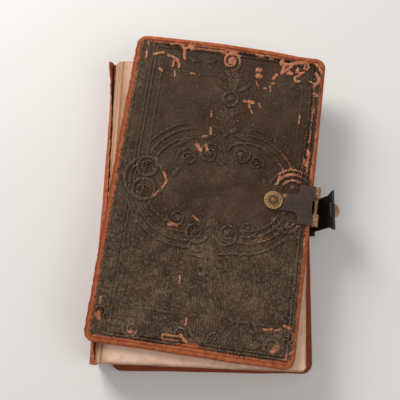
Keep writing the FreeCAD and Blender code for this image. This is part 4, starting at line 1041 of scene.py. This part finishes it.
def spine_wall(y, z, top):
    """The middle line of the spine leather over the block's foot: a flat circle below the middle
    of the block, and above it a bend to where the torn edge lies at that place along the spine."""
    half = BLOCK_THICKNESS / 2
    outermost = -BLOCK_HALF_WIDTH - SPINE_ROUND + 0.7
    low = half + 2.1
    radius = (low ** 2 + SPINE_FOOT_OUT ** 2) / (2 * SPINE_FOOT_OUT)
    lower = outermost + radius - np.sqrt(radius ** 2 - (np.minimum(z, half) - half) ** 2)
    rise = np.clip((z - half) / (top - half), 0, 1)
    edge = np.interp(y, TORN_EDGE_Y, TORN_EDGE_X)
    return lower + (edge - outermost) * rise ** 1.7


def torn_height(y, fray):
    """Height of the torn upper edge along the spine: it falls towards the head and is ragged."""
    fall = 1.6 * np.clip(y / SPINE_HALF_LENGTH * 1.15 - 0.05, 0, 1)
    torn = ragged(y, (13.0, 41, 1), (3.4, 42, 0.7), (1.1, 43, 0.4))
    return BLOCK_THICKNESS - 0.5 - fall - fray * torn


def joint_strip(foot, s):
    """The leather between the back cover and the foot of the spine, at shares s across it: flat
    on the table for its first half, then a quadratic curve up to the foot."""
    foot_x = foot[..., 0]
    start_x = -COVER_HALF_WIDTH + 0.5
    bend_x = foot_x + 1.0
    level = 0.42
    r = np.clip(2 * s - 1, 0, 1)

    def bent(first, pull, last):
        return (1 - r) ** 2 * first + 2 * r * (1 - r) * pull + r ** 2 * last

    flat_x = start_x + (bend_x - start_x) * np.clip(2 * s, 0, 1)
    x = np.where(s < 0.5, flat_x, bent(bend_x, foot_x - 0.2, foot_x))
    z = np.where(s < 0.5, level, bent(level, level, foot[..., 2]))
    return surface(x, foot[..., 1], z)


class BOOK_OT_spine(bpy.types.Operator):
    """Torn spine leather, bent round the joint, and the paper lining under it"""
    bl_idname = "book.spine"
    bl_label = "Spine"

    def execute(self, context):
        settings = context.scene.book_spine
        shift = block_shift()
        y = np.linspace(-SPINE_HALF_LENGTH, SPINE_HALF_LENGTH, 330)[:, None]
        t = np.linspace(0, 1, 46)[None, :]
        top = torn_height(y, settings.fray / MM)
        foot = 0.2
        z = foot + (top - foot) * t
        x = spine_wall(y, z, top) - 0.2 * smooth_step(0.8, 1.0, t) * ripple(y, y * 0 + t, 6.0, 44)
        x = x + 0.1 * ripple(y, z, 12.0, 45)
        wall = surface(x, y, z)
        wall = placed(wall.reshape(-1, 3), shift, BLOCK_TURN).reshape(wall.shape) / MM
        strip = joint_strip(wall[:, :1], np.linspace(0, 1, 15)[None, :])[:, :-1]
        centre = np.concatenate([strip, wall], axis=1)
        share = np.concatenate([np.zeros(strip.shape[:2]), np.broadcast_to(t, x.shape)], axis=1)
        thickness = settings.thickness / MM * (1 - 0.7 * smooth_step(0.9, 1.0, share))
        points, quads = strip_shell(centre, thickness)
        mesh = new_mesh("torn_spine", points * MM, quads)
        near_end = smooth_step(SPINE_HALF_LENGTH - 2.5, SPINE_HALF_LENGTH, np.abs(y))
        torn = np.maximum(smooth_step(0.86, 1.0, share), 0.8 * near_end)
        left = 0.62 - 0.5 * smooth_step(0.45, 0.95, share)
        left = left + 0.12 * ripple(centre[..., 1], centre[..., 2], 18, 46)
        # The inner skin is marked as the flesh side, whose colour is painted lighter as painted light.
        set_fields(mesh, torn=np.tile(torn.ravel(), 2), flesh=np.repeat([0.0, 1.0], left.size),
                   film_left=np.concatenate([left.ravel(), np.zeros(left.size)]))
        piece = finish_piece("torn_spine", mesh, torn_leather("torn_spine_finish"),
                             ["spine_leather"])
        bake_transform(piece)

        y = np.linspace(-BLOCK_HALF_HEIGHT, BLOCK_HALF_HEIGHT, 200)[:, None]
        t = np.linspace(0, 1, 20)[None, :]
        low = 2.0
        high = 11.4 - ragged(y, (8.0, 51, 0.9), (2.1, 52, 0.4))
        z = low + (high - low) * t
        x = -BLOCK_HALF_WIDTH - spine_reach(z, 0.0, context.scene.book_pages.sections) - 0.48
        points, quads = strip_shell(surface(x, y, z), 0.22)
        mesh = new_mesh("spine_paper", placed(points, shift, BLOCK_TURN), quads)
        piece = finish_piece("spine_paper", mesh, plain_paper("glued_lining", "7b5334", "94683f"),
                             ["spine_lining"])
        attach(piece, "text_block")
        return {"FINISHED"}


# Metalwork

def soften_node(node, material, body, width, name=None):
    """A copy of a CAD node whose sharp edges are bevelled, and marked as rubbed for its finish."""
    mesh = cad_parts[node].data.copy()
    mesh.name = name or "worn_" + node
    with edited(mesh) as work:
        bmesh.ops.remove_doubles(work, verts=work.verts, dist=2 * SEAM)
        bmesh.ops.dissolve_limit(work, angle_limit=math.radians(1.5), verts=work.verts,
                                 edges=work.edges)
        sharp = [e for e in work.edges if e.is_manifold and e.calc_face_angle(0) > math.radians(32)]
        rubbed = work.verts.layers.float.new("rubbed_metal")
        made = bmesh.ops.bevel(work, geom=sharp, offset=width, segments=2, profile=0.6,
                               affect="EDGES", clamp_overlap=True)
        bevelled = set(made["faces"])
        for vertex in made["verts"]:
            if all(face in bevelled for face in vertex.link_faces):
                vertex[rubbed] = 0.72
        bmesh.ops.triangulate(work, faces=work.faces)
    piece = finish_piece(mesh.name, mesh, material, [node], sharp=38.0)
    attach(piece, body)


def rosette_mesh(petals):
    """A pressed disc in polar rings: a dome whose petals are a cosine round it, deeper outwards,
    a raised rim and a sunk seat for the rivet head, on a flat underside. Millimetres."""
    rho = np.linspace(0.62, ROSETTE_RADIUS, 34)[:, None]
    angle = np.linspace(0, 2 * math.pi, 288, endpoint=False)[None, :]
    seat = 1.3
    inside = np.clip((rho - seat) / (ROSETTE_RADIUS - seat), 0, 1)
    depth = 0.14
    flute = np.abs(np.cos(petals / 2 * angle)) ** 0.7
    petal = depth * (flute - 1) * smooth_step(0.08, 0.4, inside) * (1 - smooth_step(0.82, 0.9, inside))
    rim = 0.12 * np.exp(-((inside - 0.93) / 0.05) ** 2)
    z = 1.0 - 0.42 * inside ** 2.2 + petal + rim - 0.5 * smooth_step(0.965, 1.0, inside)
    top = surface(rho * np.cos(angle), rho * np.sin(angle), z)
    bottom = top[::-1] * (1, 1, 0)
    rings = np.concatenate([bottom[-1:], top, bottom[:1], bottom[-1:]])
    rows, columns = rings.shape[:2]
    high = np.clip(1.1 * (petal / depth + 1) * smooth_step(0.1, 0.5, inside) - 0.45, 0, 0.55)
    rubbed = np.pad(high + 0.2 * (rim > 0.05), ((1, 2), (0, 0)))
    grime = 0.8 * np.exp(-((np.hypot(rings[..., 0], rings[..., 1]) - 1.7) / 0.5) ** 2)
    return rings.reshape(-1, 3), grid_quads(rows, columns, closed=True), rubbed.ravel(), grime.ravel()


class BOOK_OT_catch(bpy.types.Operator):
    """Tarnished brass catch, its bar, rosette and rivets"""
    bl_idname = "book.catch"
    bl_label = "Catch"

    def execute(self, context):
        settings = context.scene.book_metal
        dark = old_metal("dark_brass_finish", "38281e", "4a372a", "a97f53", 0.3, 0.46, 44.7)
        brass = old_metal("brass_finish", "5f442a", "8f6b43", "b78d5b", 0.35, 0.4)
        soften_node("catch_plate", dark, "text_block", settings.edge)
        soften_node("catch_bar", brass, "text_block", settings.edge)
        soften_node("catch_rivets", brass, "text_block", settings.edge * 0.7)
        points, quads, rubbed, grime = rosette_mesh(settings.petals)
        mesh = new_mesh("fluted_rosette", placed(points, place_of("catch_rosette"), FRONT_TURN), quads)
        set_fields(mesh, rubbed_metal=rubbed, grime=grime)
        close_seams(mesh)
        piece = finish_piece("fluted_rosette", mesh, brass, ["catch_rosette"])
        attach(piece, "text_block")
        return {"FINISHED"}


class BOOK_OT_hasp(bpy.types.Operator):
    """Black hasp with its hinge, pin, rivets and brass thumb lip"""
    bl_idname = "book.hasp"
    bl_label = "Hasp"

    def execute(self, context):
        settings = context.scene.book_metal
        black = old_metal("black_iron_finish", "0a0a0b", "171616", "9c927e", 0.2, 0.58)
        brass = bpy.data.materials["brass_finish"]
        rubbed_brass = old_metal("rubbed_brass_finish", "8f6848", "b98b68", "dcb58f", 0.2, 0.42)
        soften_node("hasp", black, "hasp", settings.edge)
        soften_node("hasp_thumb_lip", rubbed_brass, "hasp", settings.edge, "worn_thumb_lip")
        for node in ("hasp_hinge_plate", "hasp_hinge_pin"):
            soften_node(node, black, "back_cover", settings.edge)
        soften_node("hasp_plate_rivets", brass, "back_cover", settings.edge, "worn_plate_rivets")
        return {"FINISHED"}


# Stage

def add_lamp(name, place, size, power):
    """A square area lamp that faces the middle of the closed book."""
    lamp = bpy.data.lights.new(name, "AREA")
    lamp.size = size
    lamp.energy = power
    holder = bpy.data.objects.new(name, lamp)
    holder.location = place
    holder.rotation_euler = (Vector((0.0, 0.0, 0.01)) - Vector(place)).to_track_quat("-Z", "Y").to_euler()
    bpy.context.scene.collection.objects.link(holder)


class BOOK_OT_stage(bpy.types.Operator):
    """Pale floor, soft lamps and the camera at the photograph's angle"""
    bl_idname = "book.stage"
    bl_label = "Stage"

    def execute(self, context):
        settings = context.scene.book_stage
        scene = context.scene
        pale = Finish("pale_floor", {"Roughness": 0.9, "Base Color": paint("e6e3de")}).material
        corners = np.array([(-3, -3, 0), (3, -3, 0), (3, 3, 0), (-3, 3, 0)])
        mesh = new_mesh("floor", corners, np.array([[0, 1, 2, 3]]))
        mesh.materials.append(pale)
        floor = bpy.data.objects.new("floor", mesh)
        scene.collection.objects.link(floor)

        target = Vector((-0.00673, 0.0083, 0.0))
        azimuth = math.radians(0.9)
        lean = math.sin(settings.tilt)
        back = Vector((math.sin(azimuth) * lean, -math.cos(azimuth) * lean, math.cos(settings.tilt)))
        camera = bpy.data.cameras.new("camera")
        camera.lens = settings.lens
        camera.sensor_width = 36.0
        camera.clip_start = 0.01
        holder = bpy.data.objects.new("camera", camera)
        holder.location = target + back * settings.distance
        holder.rotation_euler = (-back).to_track_quat("-Z", "Y").to_euler()
        scene.collection.objects.link(holder)
        scene.camera = holder

        add_lamp("key", (-0.42, 0.5, 0.42), 0.35, 5.4)
        add_lamp("fill", (0.55, -0.25, 0.6), 0.6, 1.9)
        world = bpy.data.worlds.new("studio")
        world.use_nodes = True
        background = world.node_tree.nodes["Background"].inputs
        background["Color"].default_value = (0.9, 0.92, 0.95, 1.0)
        background["Strength"].default_value = 0.38
        scene.world = world
        scene.view_settings.view_transform = "Standard"
        return {"FINISHED"}


class BOOK_PT_parts(bpy.types.Panel):
    """Sizes, colours and pieces of the book"""
    bl_label = "Clasped Leather Book"
    bl_idname = "BOOK_PT_parts"
    bl_space_type = "VIEW_3D"
    bl_region_type = "UI"
    bl_category = "Book"

    def draw(self, context):
        for key in SETTINGS:
            box = self.layout.box()
            group = getattr(context.scene, key)
            for name in group.bl_rna.properties.keys():
                if name not in ("rna_type", "name"):
                    box.prop(group, name)
        for operator in OPERATORS:
            self.layout.operator(operator.bl_idname)


SETTINGS = {"book_cover": CoverSettings, "book_pages": PageSettings, "book_spine": SpineSettings,
            "book_metal": MetalSettings, "book_stage": StageSettings}
OPERATORS = [BOOK_OT_front_cover, BOOK_OT_back_cover, BOOK_OT_boards, BOOK_OT_pages, BOOK_OT_spine,
             BOOK_OT_catch, BOOK_OT_hasp, BOOK_OT_stage]


def register():
    for group in SETTINGS.values():
        bpy.utils.register_class(group)
    for operator in OPERATORS:
        bpy.utils.register_class(operator)
    bpy.utils.register_class(BOOK_PT_parts)
    for key, group in SETTINGS.items():
        setattr(bpy.types.Scene, key, PointerProperty(type=group))


def unregister():
    for key in SETTINGS:
        delattr(bpy.types.Scene, key)
    bpy.utils.unregister_class(BOOK_PT_parts)
    for operator in reversed(OPERATORS):
        bpy.utils.unregister_class(operator)
    for group in reversed(list(SETTINGS.values())):
        bpy.utils.unregister_class(group)


def main():
    register()
    make_shared_effects()
    for piece in ("front_cover", "back_cover", "boards", "pages", "spine", "catch", "hasp", "stage"):
        getattr(bpy.ops.book, piece)()


if __name__ == "__main__":
    main()
